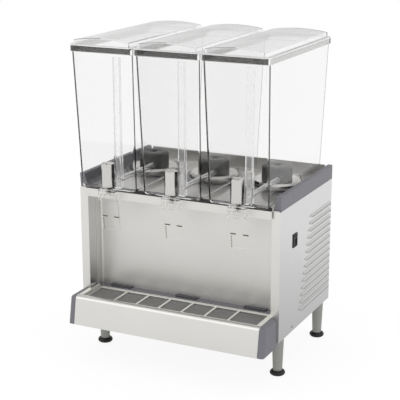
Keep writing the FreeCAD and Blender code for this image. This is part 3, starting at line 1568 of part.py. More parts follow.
def bent_tube(points, radius, bend):
    """Sweep a tube, round but for its few sides, along straight runs joined by tangent arcs."""
    edges = []
    start = points[0]
    for before, corner, after in zip(points, points[1:], points[2:]):
        arrive = (corner - before).normalize()
        leave = (after - corner).normalize()
        half_turn = arrive.getAngle(leave) / 2
        back = bend * math.tan(half_turn)
        first = corner - arrive * back
        last = corner + leave * back
        inward = (leave - arrive).normalize()
        middle = corner + inward * (bend / math.cos(half_turn) - bend)
        edges.append(Part.LineSegment(start, first).toShape())
        edges.append(Part.Arc(first, middle, last).toShape())
        start = last
    edges.append(Part.LineSegment(start, points[-1]).toShape())
    path = Part.Wire(edges)
    ahead = (points[1] - points[0]).normalize()
    aside = Vector(1, 0, 0) if abs(ahead.x) < abs(ahead.z) else Vector(0, 0, 1)
    corners = []
    for index in range(TUBE_SIDES + 1):
        turn = Rotation(ahead, 360 * index / TUBE_SIDES)
        corners.append(points[0] + turn.multVec(aside * radius))
    return path.makePipeShell([Part.makePolygon(corners)], True, False)


def refrigerant_tubes():
    """Copper lines from the compressor to the condenser and to the three cold plates."""
    x = float(S.compressor_offset)
    y = float(FRONT + S.compressor_setback)
    crown = float(FLOOR_PLATE + S.compressor_mount_height + S.compressor_plate + S.compressor_height)
    condenser_top = float(FLOOR_PLATE + S.condenser_base + S.condenser_height)
    condenser_x = float(S.condenser_offset)
    condenser_y = float(FRONT + S.condenser_front + S.pipe_bend)
    level = float(S.pipe_level)
    radius = float(S.pipe_radius)
    bend = float(S.pipe_bend)
    discharge = bent_tube([Vector(x, y + bend, crown), Vector(x, y + bend, level),
                           Vector(x, condenser_y, level), Vector(condenser_x, condenser_y, level),
                           Vector(condenser_x, condenser_y, condenser_top)], radius, bend)
    header_y = float(FRONT + S.header_setback)
    header_z = float(S.header_level)
    reach = float(S.bowl_pitch)
    suction_x = x + bend
    along = Vector(1, 0, 0)
    back = Vector(0, 1, 0)
    header_start = Vector(-reach - radius, header_y, header_z)
    header = Part.makeCylinder(radius, (reach + radius) * 2, header_start, along)
    neck = float(PLATE_Y - S.plate_neck_radius - S.seat_gap)
    for step in BOWL_STEPS.values():
        start = Vector(reach * step, header_y, header_z)
        branch = Part.makeCylinder(float(S.branch_radius), neck - header_y, start, back)
        header = header.fuse(branch)
    drop_level = (crown + header_z) / 2
    suction_y = y - bend
    drop = bent_tube([Vector(suction_x, header_y, header_z), Vector(suction_x, header_y, drop_level),
                      Vector(suction_x, suction_y, drop_level), Vector(suction_x, suction_y, crown)],
                     radius, float(S.suction_bend))
    made = DOC.addObject("Part::Feature", "tubes")
    made.Shape = Part.makeCompound([discharge, header.fuse(drop)])
    node(made, "refrigerant_tubes")


def build():
    """Make every sub-part."""
    base_pan()
    for name in SIDES:
        side_panel(name)
        deck_rail(name)
        tray_end_cap(name)
    rear_cover()
    splash_panel()
    deck_pan()
    legs()
    rubber_feet()
    drip_tray()
    cup_grille()
    grille_inserts()
    splash_sill()
    switch_housing()
    rocker()
    power_inlet()
    panel_screws()
    cold_plates()
    plate_gaskets()
    rest_strip()
    pump_motors()
    for name in BOWL_STEPS:
        bowl(name)
        lid(name)
        pump_cover(name)
        impeller(name)
        spray_tube(name)
        valve_sleeve(name)
        valve_plunger(name)
        tap_housing(name)
        tap_lever(name)
    compressor()
    compressor_mounts()
    condenser()
    fan_motor()
    fan_blade()
    refrigerant_tubes()


def check():
    """Make sure that every object recomputed and every sub-part is sound."""
    DOC.recompute()
    for thing in DOC.Objects:
        if "Invalid" in thing.State or "Error" in thing.State:
            raise ValueError(f"{thing.Label} failed: {thing.State}")
    for part in NODES:
        if part.Shape.isNull() or not part.Shape.isValid() or not part.Shape.Solids:
            raise ValueError(f"{part.Label} has no sound solid")


def write():
    """Write each sub-part to its own file."""
    os.makedirs("parts", exist_ok=True)
    for part in NODES:
        part.Shape.exportStep(f"parts/{part.Label}.step")
        box = part.Shape.BoundBox
        print(f"{part.Label}: {len(part.Shape.Solids)} solids, "
              f"x {box.XMin:.1f} {box.XMax:.1f}, y {box.YMin:.1f} {box.YMax:.1f}, "
              f"z {box.ZMin:.1f} {box.ZMax:.1f}")


build()
check()
write()
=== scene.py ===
"""Looks of a cold drink dispenser: clear bowls and taps over a chilled steel cabinet."""

import json
import logging
import math
from dataclasses import dataclass
from enum import Enum

import bmesh
import bpy
from mathutils import Matrix, Vector
from mathutils.bvhtree import BVHTree

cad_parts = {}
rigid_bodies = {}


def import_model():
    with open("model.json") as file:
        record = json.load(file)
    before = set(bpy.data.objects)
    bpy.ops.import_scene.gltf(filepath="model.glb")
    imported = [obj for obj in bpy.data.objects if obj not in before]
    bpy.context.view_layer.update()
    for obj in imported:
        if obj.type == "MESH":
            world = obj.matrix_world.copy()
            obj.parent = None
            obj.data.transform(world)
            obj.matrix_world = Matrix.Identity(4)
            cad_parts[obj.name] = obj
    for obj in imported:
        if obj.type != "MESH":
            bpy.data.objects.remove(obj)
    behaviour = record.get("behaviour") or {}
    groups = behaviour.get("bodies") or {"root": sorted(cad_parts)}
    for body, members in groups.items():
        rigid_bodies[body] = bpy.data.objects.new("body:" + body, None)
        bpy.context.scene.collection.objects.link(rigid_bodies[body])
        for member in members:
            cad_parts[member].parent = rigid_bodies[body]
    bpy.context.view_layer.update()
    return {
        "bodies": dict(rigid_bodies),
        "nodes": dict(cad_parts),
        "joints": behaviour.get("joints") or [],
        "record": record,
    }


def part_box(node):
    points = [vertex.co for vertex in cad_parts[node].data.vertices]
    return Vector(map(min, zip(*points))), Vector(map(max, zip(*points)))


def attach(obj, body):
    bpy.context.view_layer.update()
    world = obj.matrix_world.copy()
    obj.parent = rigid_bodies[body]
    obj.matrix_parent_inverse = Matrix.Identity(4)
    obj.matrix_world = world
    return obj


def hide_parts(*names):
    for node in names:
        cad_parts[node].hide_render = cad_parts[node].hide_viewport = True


LOG = logging.getLogger("dispenser")
MM = 0.001
Point = tuple[float, float, float]
Span = tuple[float, float]
Box = tuple[Vector, Vector]


class Side(Enum):
    """One of the three bowls, seen from the front."""

    LEFT = "left"
    CENTRE = "centre"
    RIGHT = "right"


class Grain(Enum):
    """The way in which a brushed sheet's grain runs, as pattern scales along X, Y and Z."""

    ACROSS = (0.02, 1.0, 1.0)
    DEEP = (1.0, 0.02, 1.0)
    UPRIGHT = (1.0, 1.0, 0.02)
    ROUND = (1.0, 1.0, 1.0)


# Materials

def linear(code: str) -> tuple[float, float, float, float]:
    """Turn an sRGB hex colour into linear values.

    Args:
        code: the colour as "#RRGGBB".

    Returns:
        Red, green, blue and an alpha of 1.
    """
    values = [int(code[i:i + 2], 16) / 255 for i in (1, 3, 5)]
    red, green, blue = [v / 12.92 if v <= 0.04045 else ((v + 0.055) / 1.055) ** 2.4 for v in values]
    return red, green, blue, 1.0


def add(tree: bpy.types.NodeTree, kind: str, inputs: dict | None = None, **settings) -> bpy.types.Node:
    """Add a node with its settings, input values and links.

    Args:
        tree: the node tree.
        kind: the node's type name.
        inputs: a value or an output socket for each input, by name or index.
        settings: properties of the node.

    Returns:
        The new node.
    """
    node = tree.nodes.new(kind)
    for name, value in settings.items():
        setattr(node, name, value)
    for name, value in (inputs or {}).items():
        if isinstance(value, bpy.types.NodeSocket):
            tree.links.new(value, node.inputs[name])
        else:
            node.inputs[name].default_value = value
    return node


def empty_material(name: str) -> tuple[bpy.types.Material, bpy.types.NodeTree]:
    """Start a node material with nothing in it.

    Args:
        name: the material's name.

    Returns:
        The material and its node tree.
    """
    material = bpy.data.materials.new(name)
    material.use_nodes = True
    material.node_tree.nodes.clear()
    return material, material.node_tree


def stretched(tree: bpy.types.NodeTree, scales: Point) -> bpy.types.NodeSocket:
    """Give Object coordinates stretched along each axis."""
    place = add(tree, "ShaderNodeTexCoord")
    return add(tree, "ShaderNodeMapping", {"Vector": place.outputs["Object"], "Scale": scales}).outputs[0]


def spread(tree: bpy.types.NodeTree, value: bpy.types.NodeSocket, low: float, high: float,
           start: float = 0.0, end: float = 1.0) -> bpy.types.NodeSocket:
    """Spread a value between two numbers.

    Args:
        tree: the node tree.
        value: the value to spread.
        low: the result at the start.
        high: the result at the end.
        start: the value that gives the low result.
        end: the value that gives the high result.

    Returns:
        The spread value.
    """
    node = add(tree, "ShaderNodeMapRange", {
        "Value": value, "From Min": start, "From Max": end, "To Min": low, "To Max": high})
    return node.outputs["Result"]


def tinted(tree: bpy.types.NodeTree, value: bpy.types.NodeSocket, first: str,
           second: str) -> bpy.types.NodeSocket:
    """Blend two colours by a value.

    Args:
        tree: the node tree.
        value: the share of the second colour.
        first: the colour at 0, as sRGB hex.
        second: the colour at 1, as sRGB hex.

    Returns:
        The blended colour.
    """
    node = add(tree, "ShaderNodeMix", {"Factor": value, "A": linear(first), "B": linear(second)},
               data_type="RGBA")
    return node.outputs["Result"]


@dataclass(frozen=True)
class BrushedSteel:
    """Stainless sheet, brushed with a belt: fine parallel lines that spread a reflection."""

    name: str
    grain: Grain = Grain.ACROSS
    colour: str = "#E4E3DF"
    shade: str = "#DAD9D5"
    low: float = 0.26
    high: float = 0.36
    line_mm: float = 0.5
    depth: float = 0.06
    cloud_mm: float = 200.0

    def build(self) -> bpy.types.Material:
        """Make the material, with its lines drawn wider than the real 0.1 mm so that they show.

        Returns:
            The material.
        """
        material, tree = empty_material(self.name)
        lines = add(tree, "ShaderNodeTexNoise", {
            "Vector": stretched(tree, self.grain.value), "Scale": 1 / (self.line_mm * MM),
            "Detail": 2.0})
        clouds = add(tree, "ShaderNodeTexNoise", {
            "Vector": stretched(tree, (1, 1, 1)), "Scale": 1 / (self.cloud_mm * MM), "Detail": 3.0})
        bump = add(tree, "ShaderNodeBump", {
            "Height": lines.outputs[0], "Strength": self.depth, "Distance": 0.2 * MM})
        shader = add(tree, "ShaderNodeBsdfPrincipled", {
            "Base Color": tinted(tree, clouds.outputs[0], self.colour, self.shade),
            "Metallic": 1.0,
            "Roughness": spread(tree, lines.outputs[0], self.low, self.high),
            "Normal": bump.outputs[0]})
        add(tree, "ShaderNodeOutputMaterial", {"Surface": shader.outputs[0]})
        return material


@dataclass(frozen=True)
class Moulded:
    """Moulded, cast or sprayed piece: a fine eroded grain that breaks up its highlights."""

    name: str
    colour: str
    shade: str
    rough: float = 0.45
    grain_mm: float = 0.8
    depth: float = 0.08
    metallic: float = 0.0
    cloud_mm: float = 70.0

    def build(self) -> bpy.types.Material:
        """Make the material.

        Returns:
            The material.
        """
        material, tree = empty_material(self.name)
        grain = add(tree, "ShaderNodeTexNoise", {
            "Vector": stretched(tree, (1, 1, 1)), "Scale": 1 / (self.grain_mm * MM), "Detail": 2.0})
        clouds = add(tree, "ShaderNodeTexNoise", {
            "Vector": stretched(tree, (1, 1, 1)), "Scale": 1 / (self.cloud_mm * MM), "Detail": 4.0})
        bump = add(tree, "ShaderNodeBump", {
            "Height": grain.outputs[0], "Strength": self.depth, "Distance": 0.1 * MM})
        shader = add(tree, "ShaderNodeBsdfPrincipled", {
            "Base Color": tinted(tree, clouds.outputs[0], self.colour, self.shade),
            "Metallic": self.metallic,
            "Roughness": spread(tree, grain.outputs[0], self.rough - 0.05, self.rough + 0.05),
            "Normal": bump.outputs[0]})
        add(tree, "ShaderNodeOutputMaterial", {"Surface": shader.outputs[0]})
        return material


@dataclass(frozen=True)
class ClearPlastic:
    """Clear moulded plastic: a faint flow ripple in its faces, and a painted shade on its edges: the
    colour turns to the edge colour where a face turns edge-on, in place of refraction.

    Lamps and mirrored light pass straight through it, so what stands behind it is lit as in a room.
    """

    name: str
    colour: str = "#FFFFFF"
    # The colour of the painted shade that edge-on faces turn to.
    edge: str = "#8E8D8B"
    edge_start: float = 0.72
    edge_end: float = 1.0
    rough: float = 0.0
    index: float = 1.49
    clarity: float = 1.0
    passing: str = "#FAFAFA"
    ripple: float = 0.02
    ripple_mm: float = 60.0

    def build(self) -> bpy.types.Material:
        """Make the material.

        Returns:
            The material.
        """
        material, tree = empty_material(self.name)
        flow = add(tree, "ShaderNodeTexNoise", {
            "Vector": stretched(tree, (1, 1, 0.35)), "Scale": 1 / (self.ripple_mm * MM),
            "Detail": 1.0})
        bump = add(tree, "ShaderNodeBump", {
            "Height": flow.outputs[0], "Strength": self.ripple, "Distance": 1 * MM})
        # Painted shade: the base colour blends to the edge colour as a face turns edge-on.
        edge_on_shade = add(tree, "ShaderNodeLayerWeight", {"Blend": 0.5})
        share = spread(tree, edge_on_shade.outputs["Facing"], 0.0, 1.0, self.edge_start, self.edge_end)
        shader = add(tree, "ShaderNodeBsdfPrincipled", {
            "Base Color": tinted(tree, share, self.colour, self.edge), "Roughness": self.rough,
            "IOR": self.index, "Transmission Weight": self.clarity, "Normal": bump.outputs[0]})
        path = add(tree, "ShaderNodeLightPath")
        plain = add(tree, "ShaderNodeMath", {0: path.outputs["Is Shadow Ray"],
                                             1: path.outputs["Is Reflection Ray"]},
                    operation="MAXIMUM")
        open_air = add(tree, "ShaderNodeBsdfTransparent", {"Color": linear(self.passing)})
        mix = add(tree, "ShaderNodeMixShader", {0: plain.outputs[0], 1: shader.outputs[0],
                                                2: open_air.outputs[0]})
        add(tree, "ShaderNodeOutputMaterial", {"Surface": mix.outputs[0]})
        return material


Finish = BrushedSteel | Moulded | ClearPlastic

# Stainless sheet, belt brushed along its length: reflections smear across the lines, so a panel
# shows broad soft bands and no sharp images.
STEEL_ACROSS = BrushedSteel("stainless_brushed_across")
STEEL_UPRIGHT = BrushedSteel("stainless_brushed_upright", Grain.UPRIGHT, low=0.38, high=0.46)
STEEL_SIDE = BrushedSteel("stainless_brushed_side", Grain.DEEP, "#D6D6D6", "#CECECE", 0.14, 0.20)
# The same steel on the louvres that a press has drawn into hoods: each hood's slope gets a duller grey, a
# painted shade, and each lip a dark line, a painted shadow for the shade and dark slot under the hood.
STEEL_HOOD_PAINTED_SHADE = BrushedSteel("stainless_hood_painted_shade", Grain.DEEP, "#C4C4C3", "#BABAB9", 0.2, 0.3)
STEEL_LIP_PAINTED_SHADOW = BrushedSteel("stainless_lip_painted_shadow", Grain.DEEP, "#1E1E1E", "#181818", 0.4, 0.5)
STEEL_DECK = BrushedSteel("stainless_brushed_deck", Grain.ACROSS, "#E4E2DE", "#D8D6D2", 0.36, 0.44,
                          depth=0.02)
# Stainless tube and disc, turned on a lathe: tight highlights that run along the piece.
STEEL_TURNED = BrushedSteel("stainless_turned", Grain.ROUND, "#DEDCD8", "#D2D0CC", 0.16, 0.24, 0.4)
# Steel sheet, hot-dip coated with zinc: a dull grey with a faint spangle of a few millimetres.
ZINC_SHEET = Moulded("zinc_sheet_dipped", "#B4B6B8", "#A3A5A8", 0.4, 6.0, 0.02, 0.9, 8.0)
# ABS, injection moulded in an eroded tool: an even matt colour with soft edges of light.
GREY_ABS = Moulded("abs_moulded_grey", "#77767D", "#717077", 0.5)
SILL_ABS = Moulded("abs_moulded_sill", "#69686F", "#626168", 0.45)
PAD_ABS = Moulded("abs_moulded_pad", "#35343B", "#302F36", 0.5)
BLACK_ABS = Moulded("abs_moulded_black", "#0B0B0C", "#101012", 0.5)
PUMP_ABS = Moulded("abs_moulded_pump", "#474644", "#403F3D", 0.45, 0.8, 0.04)
# Rubber, compression moulded: near black with a satin bloom along its rims.
BLACK_RUBBER = Moulded("rubber_moulded", "#0E0E0E", "#151515", 0.45, 1.2, 0.05)
# Acetal, injection moulded: waxy off-white, smooth.
PALE_ACETAL = Moulded("acetal_moulded", "#D8D8D4", "#CFCFCB", 0.3, 0.8, 0.04)
# Die-cast alloy, painted silver: a fine metallic body under a satin coat.
LEG_PAINT = Moulded("cast_alloy_painted", "#A9A9A5", "#9D9D99", 0.35, 1.0, 0.05, 0.5)
# Enamel, sprayed on steel: black with the faint orange peel of a spray gun.
BLACK_ENAMEL = Moulded("enamel_sprayed", "#17181A", "#202124", 0.3, 1.5, 0.05)
# Aluminium foil, rolled and stacked as fins: bright with a soft drawn grain.
FIN_ALUMINIUM = Moulded("aluminium_rolled", "#C9CACB", "#BDBEC0", 0.35, 1.0, 0.03, 1.0)
# Zinc-plated steel screw, cold headed: small bright rim and a dark recess.
PLATED_SCREW = Moulded("zinc_plated_headed", "#BFC0BE", "#ADAEAC", 0.3, 0.6, 0.03, 1.0)
# Copper tube, drawn: warm, with a slight brown bloom.
COPPER = Moulded("copper_drawn", "#C07A55", "#A8663F", 0.3, 1.5, 0.04, 1.0)
# Ink, pad printed: flat brown with slightly uneven cover.
MARK_INK = Moulded("ink_pad_printed", "#5A5048", "#6B6058", 0.6, 0.5)
# Coated wire cloth, woven: grey threads that read as one even tone from a step away.
WIRE_CLOTH = Moulded("wire_cloth_woven", "#A09F9E", "#959493", 0.45, 0.6)
# Polycarbonate, injection moulded: clear, with bright faces and thin edges painted darker edge-on, a
# painted shade. Its real index is about 1.58. These are lower, because tapered walls then leave what
# stands behind them in its place.
CLEAR_BOWL = ClearPlastic("polycarbonate_bowl", "#FBFBFB", index=1.2)
# Painted reflection and painted shade: the rim's front faces and the left of each lid's front edge get a
# dark grey colour that stands in for the dark room seen in the clear plastic.
PAINTED_DARK_BOWL = ClearPlastic("polycarbonate_painted_dark", "#272625", "#272625", index=1.2)
# Painted shade: the rim's sides get a grey colour.
RIM_SIDE_PAINTED_SHADE = ClearPlastic("polycarbonate_rim_painted_shade", "#A9A8A6", "#8E8D8B", index=1.2)
# A moulded corner is clear from the front and painted dark edge-on, where the eye looks along the wall: a
# painted shade in place of refraction.
CORNER_PAINTED_SHADE = ClearPlastic("polycarbonate_corner_painted_shade", "#FBFBFB", "#1E1D1C", edge_start=0.12,
                           edge_end=0.25, index=1.2)
CLEAR_LID = ClearPlastic("polycarbonate_lid", "#F8F8F8", index=1.36)
CLEAR_TUBE = ClearPlastic("polycarbonate_tube", "#FFFFFF", "#E2E1DF", edge_start=0.8, rough=0.05,
                          clarity=0.98)
CLEAR_TAP = ClearPlastic("polycarbonate_tap", "#FFFFFF", "#E9E8E6", edge_start=0.85, index=1.16,
                         ripple=0.0)

MADE: dict[str, bpy.types.Material] = {}


def material_of(finish: Finish) -> bpy.types.Material:
    """Give a finish's material, made once.

    Args:
        finish: the finish.

    Returns:
        The finish's material.
    """
    if finish.name not in MADE:
        MADE[finish.name] = finish.build()
    return MADE[finish.name]


# Mesh tools

def body_with(frame: dict, node: str) -> str:
    """Find the CAD body that holds a node."""
    bodies = frame["record"]["behaviour"]["bodies"]
    return next(name for name, nodes in bodies.items() if node in nodes)


def settle(mesh: bpy.types.Mesh, angle: float = 30.0) -> None:
    """Shade a mesh smoothly, with sharp edges past an angle in degrees.

    Args:
        mesh: the mesh to shade.
        angle: the angle past which an edge stays sharp.
    """
    mesh.polygons.foreach_set("use_smooth", [True] * len(mesh.polygons))
    mesh.set_sharp_from_angle(angle=math.radians(angle))
    mesh.update()


def baked(thing: bpy.types.Object) -> None:
    """Apply an object's modifiers to its mesh.

    Args:
        thing: the object.
    """
    bpy.context.view_layer.update()
    graph = bpy.context.evaluated_depsgraph_get()
    mesh = bpy.data.meshes.new_from_object(thing.evaluated_get(graph))
    thing.modifiers.clear()
    thing.data = mesh


def new_object(name: str, mesh: bpy.types.Mesh, finish: Finish) -> bpy.types.Object:
    """Link an object for a mesh and give it its material.

    Args:
        name: the piece's name.
        mesh: the mesh, with its place in its vertices.
        finish: the piece's finish.

    Returns:
        The new object.
    """
    thing = bpy.data.objects.new(name, mesh)
    bpy.context.collection.objects.link(thing)
    mesh.materials.clear()
    mesh.materials.append(material_of(finish))
    return thing


def rounded(thing: bpy.types.Object, width: float, segments: int = 2, angle: float = 30.0) -> None:
    """Round an object's sharp edges and keep its flat faces flat.

    Args:
        thing: the object.
        width: the bevel's width in metres.
        segments: the bevel's segments.
        angle: edges sharper than this many degrees are rounded.
    """
    bevel = thing.modifiers.new("edges", "BEVEL")
    bevel.width = width
    bevel.segments = segments
    bevel.limit_method = "ANGLE"
    bevel.angle_limit = math.radians(angle)
    bevel.use_clamp_overlap = True
    baked(thing)
    flattened(thing, 45.0)


def flattened(thing: bpy.types.Object, angle: float) -> None:
    """Shade an object smoothly and keep its broad faces flat, so clear walls don't act as lenses.

    Args:
        thing: the object.
        angle: edges sharper than this many degrees stay sharp.
    """
    settle(thing.data, angle)
    weighted = thing.modifiers.new("normals", "WEIGHTED_NORMAL")
    weighted.keep_sharp = True
    weighted.weight = 90
    baked(thing)


def turned(thing: bpy.types.Object) -> None:
    """Shade an upright turned piece as round, however few facets its side has.

    Args:
        thing: the piece, whose axis is upright.
    """
    mesh = thing.data
    settle(mesh, 50.0)
    places = [vertex.co for vertex in mesh.vertices]
    left, right = min(p.x for p in places), max(p.x for p in places)
    axis = Vector(((left + right) / 2, max(p.y for p in places) - (right - left) / 2))
    normals = [corner.vector.copy() for corner in mesh.corner_normals]
    for face in mesh.polygons:
        outward = (face.center.xy - axis).normalized()
        facing = outward.dot(face.normal.xy)
        if abs(facing) < 0.85:
            continue
        for loop in face.loop_indices:
            around = (places[mesh.loops[loop].vertex_index].xy - axis).normalized()
            normals[loop] = (around * math.copysign(1.0, facing)).to_3d()
    mesh.normals_split_custom_set([tuple(normal) for normal in normals])


def merged(frame: dict, node: str) -> bmesh.types.BMesh:
    """Copy a CAD node's loose triangles into one joined mesh.

    Args:
        frame: the loaded frame.
        node: the CAD node.

    Returns:
        The joined work mesh.
    """
    work = bmesh.new()
    work.from_mesh(frame["nodes"][node].data)
    bmesh.ops.remove_doubles(work, verts=work.verts, dist=0.002 * MM)
    return work


def finished(work: bmesh.types.BMesh, name: str) -> bpy.types.Mesh:
    """Turn a work mesh into a mesh and free it.

    Args:
        work: the work mesh.
        name: the new mesh's name.

    Returns:
        The mesh.
    """
    mesh = bpy.data.meshes.new(name)
    work.to_mesh(mesh)
    work.free()
    return mesh


def carried(frame: dict, node: str, finish: Finish, edge_mm: float = 0.4,
            segments: int = 2) -> bpy.types.Object:
    """Make a finished copy of a CAD node, with merged faces and softened edges.

    Args:
        frame: the loaded frame.
        node: the CAD node.
        finish: the piece's finish.
        edge_mm: the width of its edge rounding in millimetres, or 0 for a turned piece.
        segments: the rounding's segments.

    Returns:
        The piece, which stands for the node and rides on its body.
    """
    work = merged(frame, node)
    if edge_mm > 0:
        bmesh.ops.dissolve_limit(work, angle_limit=math.radians(0.6), verts=work.verts,
                                 edges=work.edges)
    thing = new_object(f"{node}_look", finished(work, node), finish)
    if edge_mm > 0:
        rounded(thing, edge_mm * MM, segments)
    else:
        turned(thing)
    return seated(frame, thing, node)


def seated(frame: dict, thing: bpy.types.Object, node: str) -> bpy.types.Object:
    """Let a piece stand for a CAD node and ride on that node's body."""
    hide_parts(node)
    return riding(frame, thing, node)


def riding(frame: dict, thing: bpy.types.Object, node: str) -> bpy.types.Object:
    """Let a piece ride on a CAD node's body.

    Args:
        frame: the loaded frame.
        thing: the piece.
        node: the CAD node.

    Returns:
        The piece.
    """
    body = body_with(frame, node)
    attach(thing, body)
    LOG.info("piece %s on %s, %d faces", thing.name, body, len(thing.data.polygons))
    return thing


def islands(frame: dict, node: str) -> list[Box]:
    """Give the box of each separate solid of a CAD node.

    Args:
        frame: the loaded frame.
        node: the CAD node.

    Returns:
        The lowest and highest corner of each solid, from left to right and front to back.
    """
    work = merged(frame, node)
    left = set(work.verts)
    boxes = []
    while left:
        front = [left.pop()]
        seen = list(front)
        while front:
            near = [edge.other_vert(vert) for vert in front for edge in vert.link_edges]
            front = [vert for vert in set(near) if vert in left]
            left.difference_update(front)
            seen += front
        places = [vert.co for vert in seen]
        boxes.append((Vector([min(p[i] for p in places) for i in range(3)]),
                      Vector([max(p[i] for p in places) for i in range(3)])))
    work.free()
    return sorted(boxes, key=lambda box: (round(box[0].x, 4), round(box[0].y, 4), box[0].z))


def ring(x: Span, y: Span, z: float, radius: float, steps: int = 6, extra: int = 0) -> list[Point]:
    """Give the points of a level rounded rectangle, anticlockwise from above.

    Args:
        x: its left and right sides.
        y: its front and rear sides.
        z: its level.
        radius: its corner radius.
        steps: the number of steps round each corner.
        extra: the number of points added along its front and its rear side.

    Returns:
        The ring's points.
    """
    arcs = []
    corners = [(x[1], y[0], -90), (x[1], y[1], 0), (x[0], y[1], 90), (x[0], y[0], 180)]
    for across, along, start in corners:
        middle_x = across - math.copysign(radius, across - (x[0] + x[1]) / 2)
        middle_y = along - math.copysign(radius, along - (y[0] + y[1]) / 2)
        turns = [math.radians(start + 90 * step / steps) for step in range(steps + 1)]
        arcs.append([(middle_x + radius * math.cos(turn), middle_y + radius * math.sin(turn), z)
                     for turn in turns])
    points = []
    for index, arc in enumerate(arcs):
        points += arc
        if index % 2:
            first, last = Vector(arc[-1]), Vector(arcs[(index + 1) % 4][0])
            points += [tuple(first.lerp(last, step / (extra + 1))) for step in range(1, extra + 1)]
    return points


def circle(radius: float, z: float, steps: int = 40) -> list[Point]:
    """Give the points of a level circle round the Z axis."""
    turns = [2 * math.pi * step / steps for step in range(steps)]
    return [(radius * math.cos(turn), radius * math.sin(turn), z) for turn in turns]


def skin(rings: list[list[Point]], closed: bool = True) -> bpy.types.Mesh:
    """Join rings of equal length into one surface.

    Args:
        rings: the rings, in order along the surface.
        closed: whether the last ring joins the first, as on a shell with a hole.

    Returns:
        The mesh, with its faces outwards.
    """
    work = bmesh.new()
    rows = [[work.verts.new(point) for point in points] for points in rings]
    pairs = list(zip(rows, rows[1:] + rows[:1] if closed else rows[1:]))
    count = len(rings[0])
    for lower, upper in pairs:
        for index in range(count):
            following = (index + 1) % count
            work.faces.new((lower[index], lower[following], upper[following], upper[index]))
    if not closed:
        work.faces.new(list(reversed(rows[0])))
        work.faces.new(rows[-1])
    bmesh.ops.remove_doubles(work, verts=work.verts, dist=0.001 * MM)
    bmesh.ops.recalc_face_normals(work, faces=work.faces)
    return finished(work, "skin")


# Geometry Nodes

def start_tree(name: str, floats: tuple[str, ...] = (), vectors: tuple[str, ...] = (),
               objects: tuple[str, ...] = ()) -> tuple[bpy.types.NodeTree, bpy.types.Node]:
    """Start a geometry tree with named inputs.

    Args:
        name: the tree's name.
        floats: the names of its number inputs.
        vectors: the names of its vector inputs.
        objects: the names of its object inputs.

    Returns:
        The tree and its input node.
    """
    tree = bpy.data.node_groups.new(name, "GeometryNodeTree")
    tree.interface.new_socket("Geometry", in_out="INPUT", socket_type="NodeSocketGeometry")
    kinds = ((floats, "NodeSocketFloat"), (vectors, "NodeSocketVector"), (objects, "NodeSocketObject"))
    for names, kind in kinds:
        for label in names:
            tree.interface.new_socket(label, in_out="INPUT", socket_type=kind)
    tree.interface.new_socket("Material", in_out="INPUT", socket_type="NodeSocketMaterial")
    tree.interface.new_socket("Geometry", in_out="OUTPUT", socket_type="NodeSocketGeometry")
    return tree, add(tree, "NodeGroupInput")


def end_tree(tree: bpy.types.NodeTree, given: bpy.types.Node, made: bpy.types.NodeSocket) -> None:
    """End a geometry tree with plain, finished meshes.

    Args:
        tree: the geometry tree.
        given: the tree's group input.
        made: the geometry to hand on.
    """
    real = add(tree, "GeometryNodeRealizeInstances", {"Geometry": made})
    dressed = add(tree, "GeometryNodeSetMaterial", {
        "Geometry": real.outputs[0], "Material": given.outputs["Material"]})
    add(tree, "NodeGroupOutput", {0: dressed.outputs[0]})


def grown(name: str, base: bpy.types.Mesh, tree: bpy.types.NodeTree, finish: Finish,
          **inputs) -> bpy.types.Object:
    """Run a geometry tree on a base mesh and keep the plain result.

    Args:
        name: the piece's name.
        base: the mesh that the tree starts from.
        tree: the geometry tree.
        finish: the piece's finish.
        inputs: a value for each named input of the tree.

    Returns:
        The piece, with no modifier left on it.
    """
    thing = bpy.data.objects.new(name, base)
    bpy.context.collection.objects.link(thing)
    modifier = thing.modifiers.new("growth", "NODES")
    modifier.node_group = tree
    sockets = {item.name: item.identifier for item in tree.interface.items_tree
               if item.in_out == "INPUT"}
    for label, value in {**inputs, "Material": material_of(finish)}.items():
        modifier[sockets[label]] = value
    baked(thing)
    settle(thing.data)
    return thing


def cloth_tree() -> bpy.types.NodeTree:
    """Make the tree of a woven panel: two layers of wires at one pitch.

    Returns:
        The geometry tree.
    """
    tree, given = start_tree("woven_panel", ("Width", "Depth", "Pitch", "Wire"), ("Middle",))
    wire = given.outputs["Wire"]
    layers = []
    for along in (0, 1):
        length = given.outputs["Depth" if along == 0 else "Width"]
        span = given.outputs["Width" if along == 0 else "Depth"]
        ratio = add(tree, "ShaderNodeMath", {0: span, 1: given.outputs["Pitch"]}, operation="DIVIDE")
        count = add(tree, "ShaderNodeMath", {0: ratio.outputs[0]}, operation="ROUND")
        step = add(tree, "ShaderNodeMath", {0: span, 1: count.outputs[0]}, operation="DIVIDE")
        room = add(tree, "ShaderNodeMath", {0: step.outputs[0], 1: span}, operation="SUBTRACT")
        first = add(tree, "ShaderNodeMath", {0: room.outputs[0], 1: 0.5}, operation="MULTIPLY")
        start = add(tree, "ShaderNodeCombineXYZ", {along: first.outputs[0]})
        shift = add(tree, "ShaderNodeCombineXYZ", {along: step.outputs[0]})
        line = add(tree, "GeometryNodeMeshLine", {
            "Count": count.outputs[0], "Start Location": start.outputs[0], "Offset": shift.outputs[0]})
        size = add(tree, "ShaderNodeCombineXYZ", {along: wire, 1 - along: length, 2: wire})
        bar = add(tree, "GeometryNodeMeshCube", {"Size": size.outputs[0]})
        row = add(tree, "GeometryNodeInstanceOnPoints", {
            "Points": line.outputs[0], "Instance": bar.outputs[0]})
        layers.append(row)
    drop = add(tree, "ShaderNodeMath", {0: wire, 1: -0.9}, operation="MULTIPLY")
    lower = add(tree, "ShaderNodeCombineXYZ", {2: drop.outputs[0]})
    below = add(tree, "GeometryNodeTransform", {
        "Geometry": layers[1].outputs[0], "Translation": lower.outputs[0]})
    both = add(tree, "GeometryNodeJoinGeometry", {0: layers[0].outputs[0]})
    tree.links.new(below.outputs[0], both.inputs[0])
    placed = add(tree, "GeometryNodeTransform", {
        "Geometry": both.outputs[0], "Translation": given.outputs["Middle"]})
    end_tree(tree, given, placed.outputs[0])
    return tree


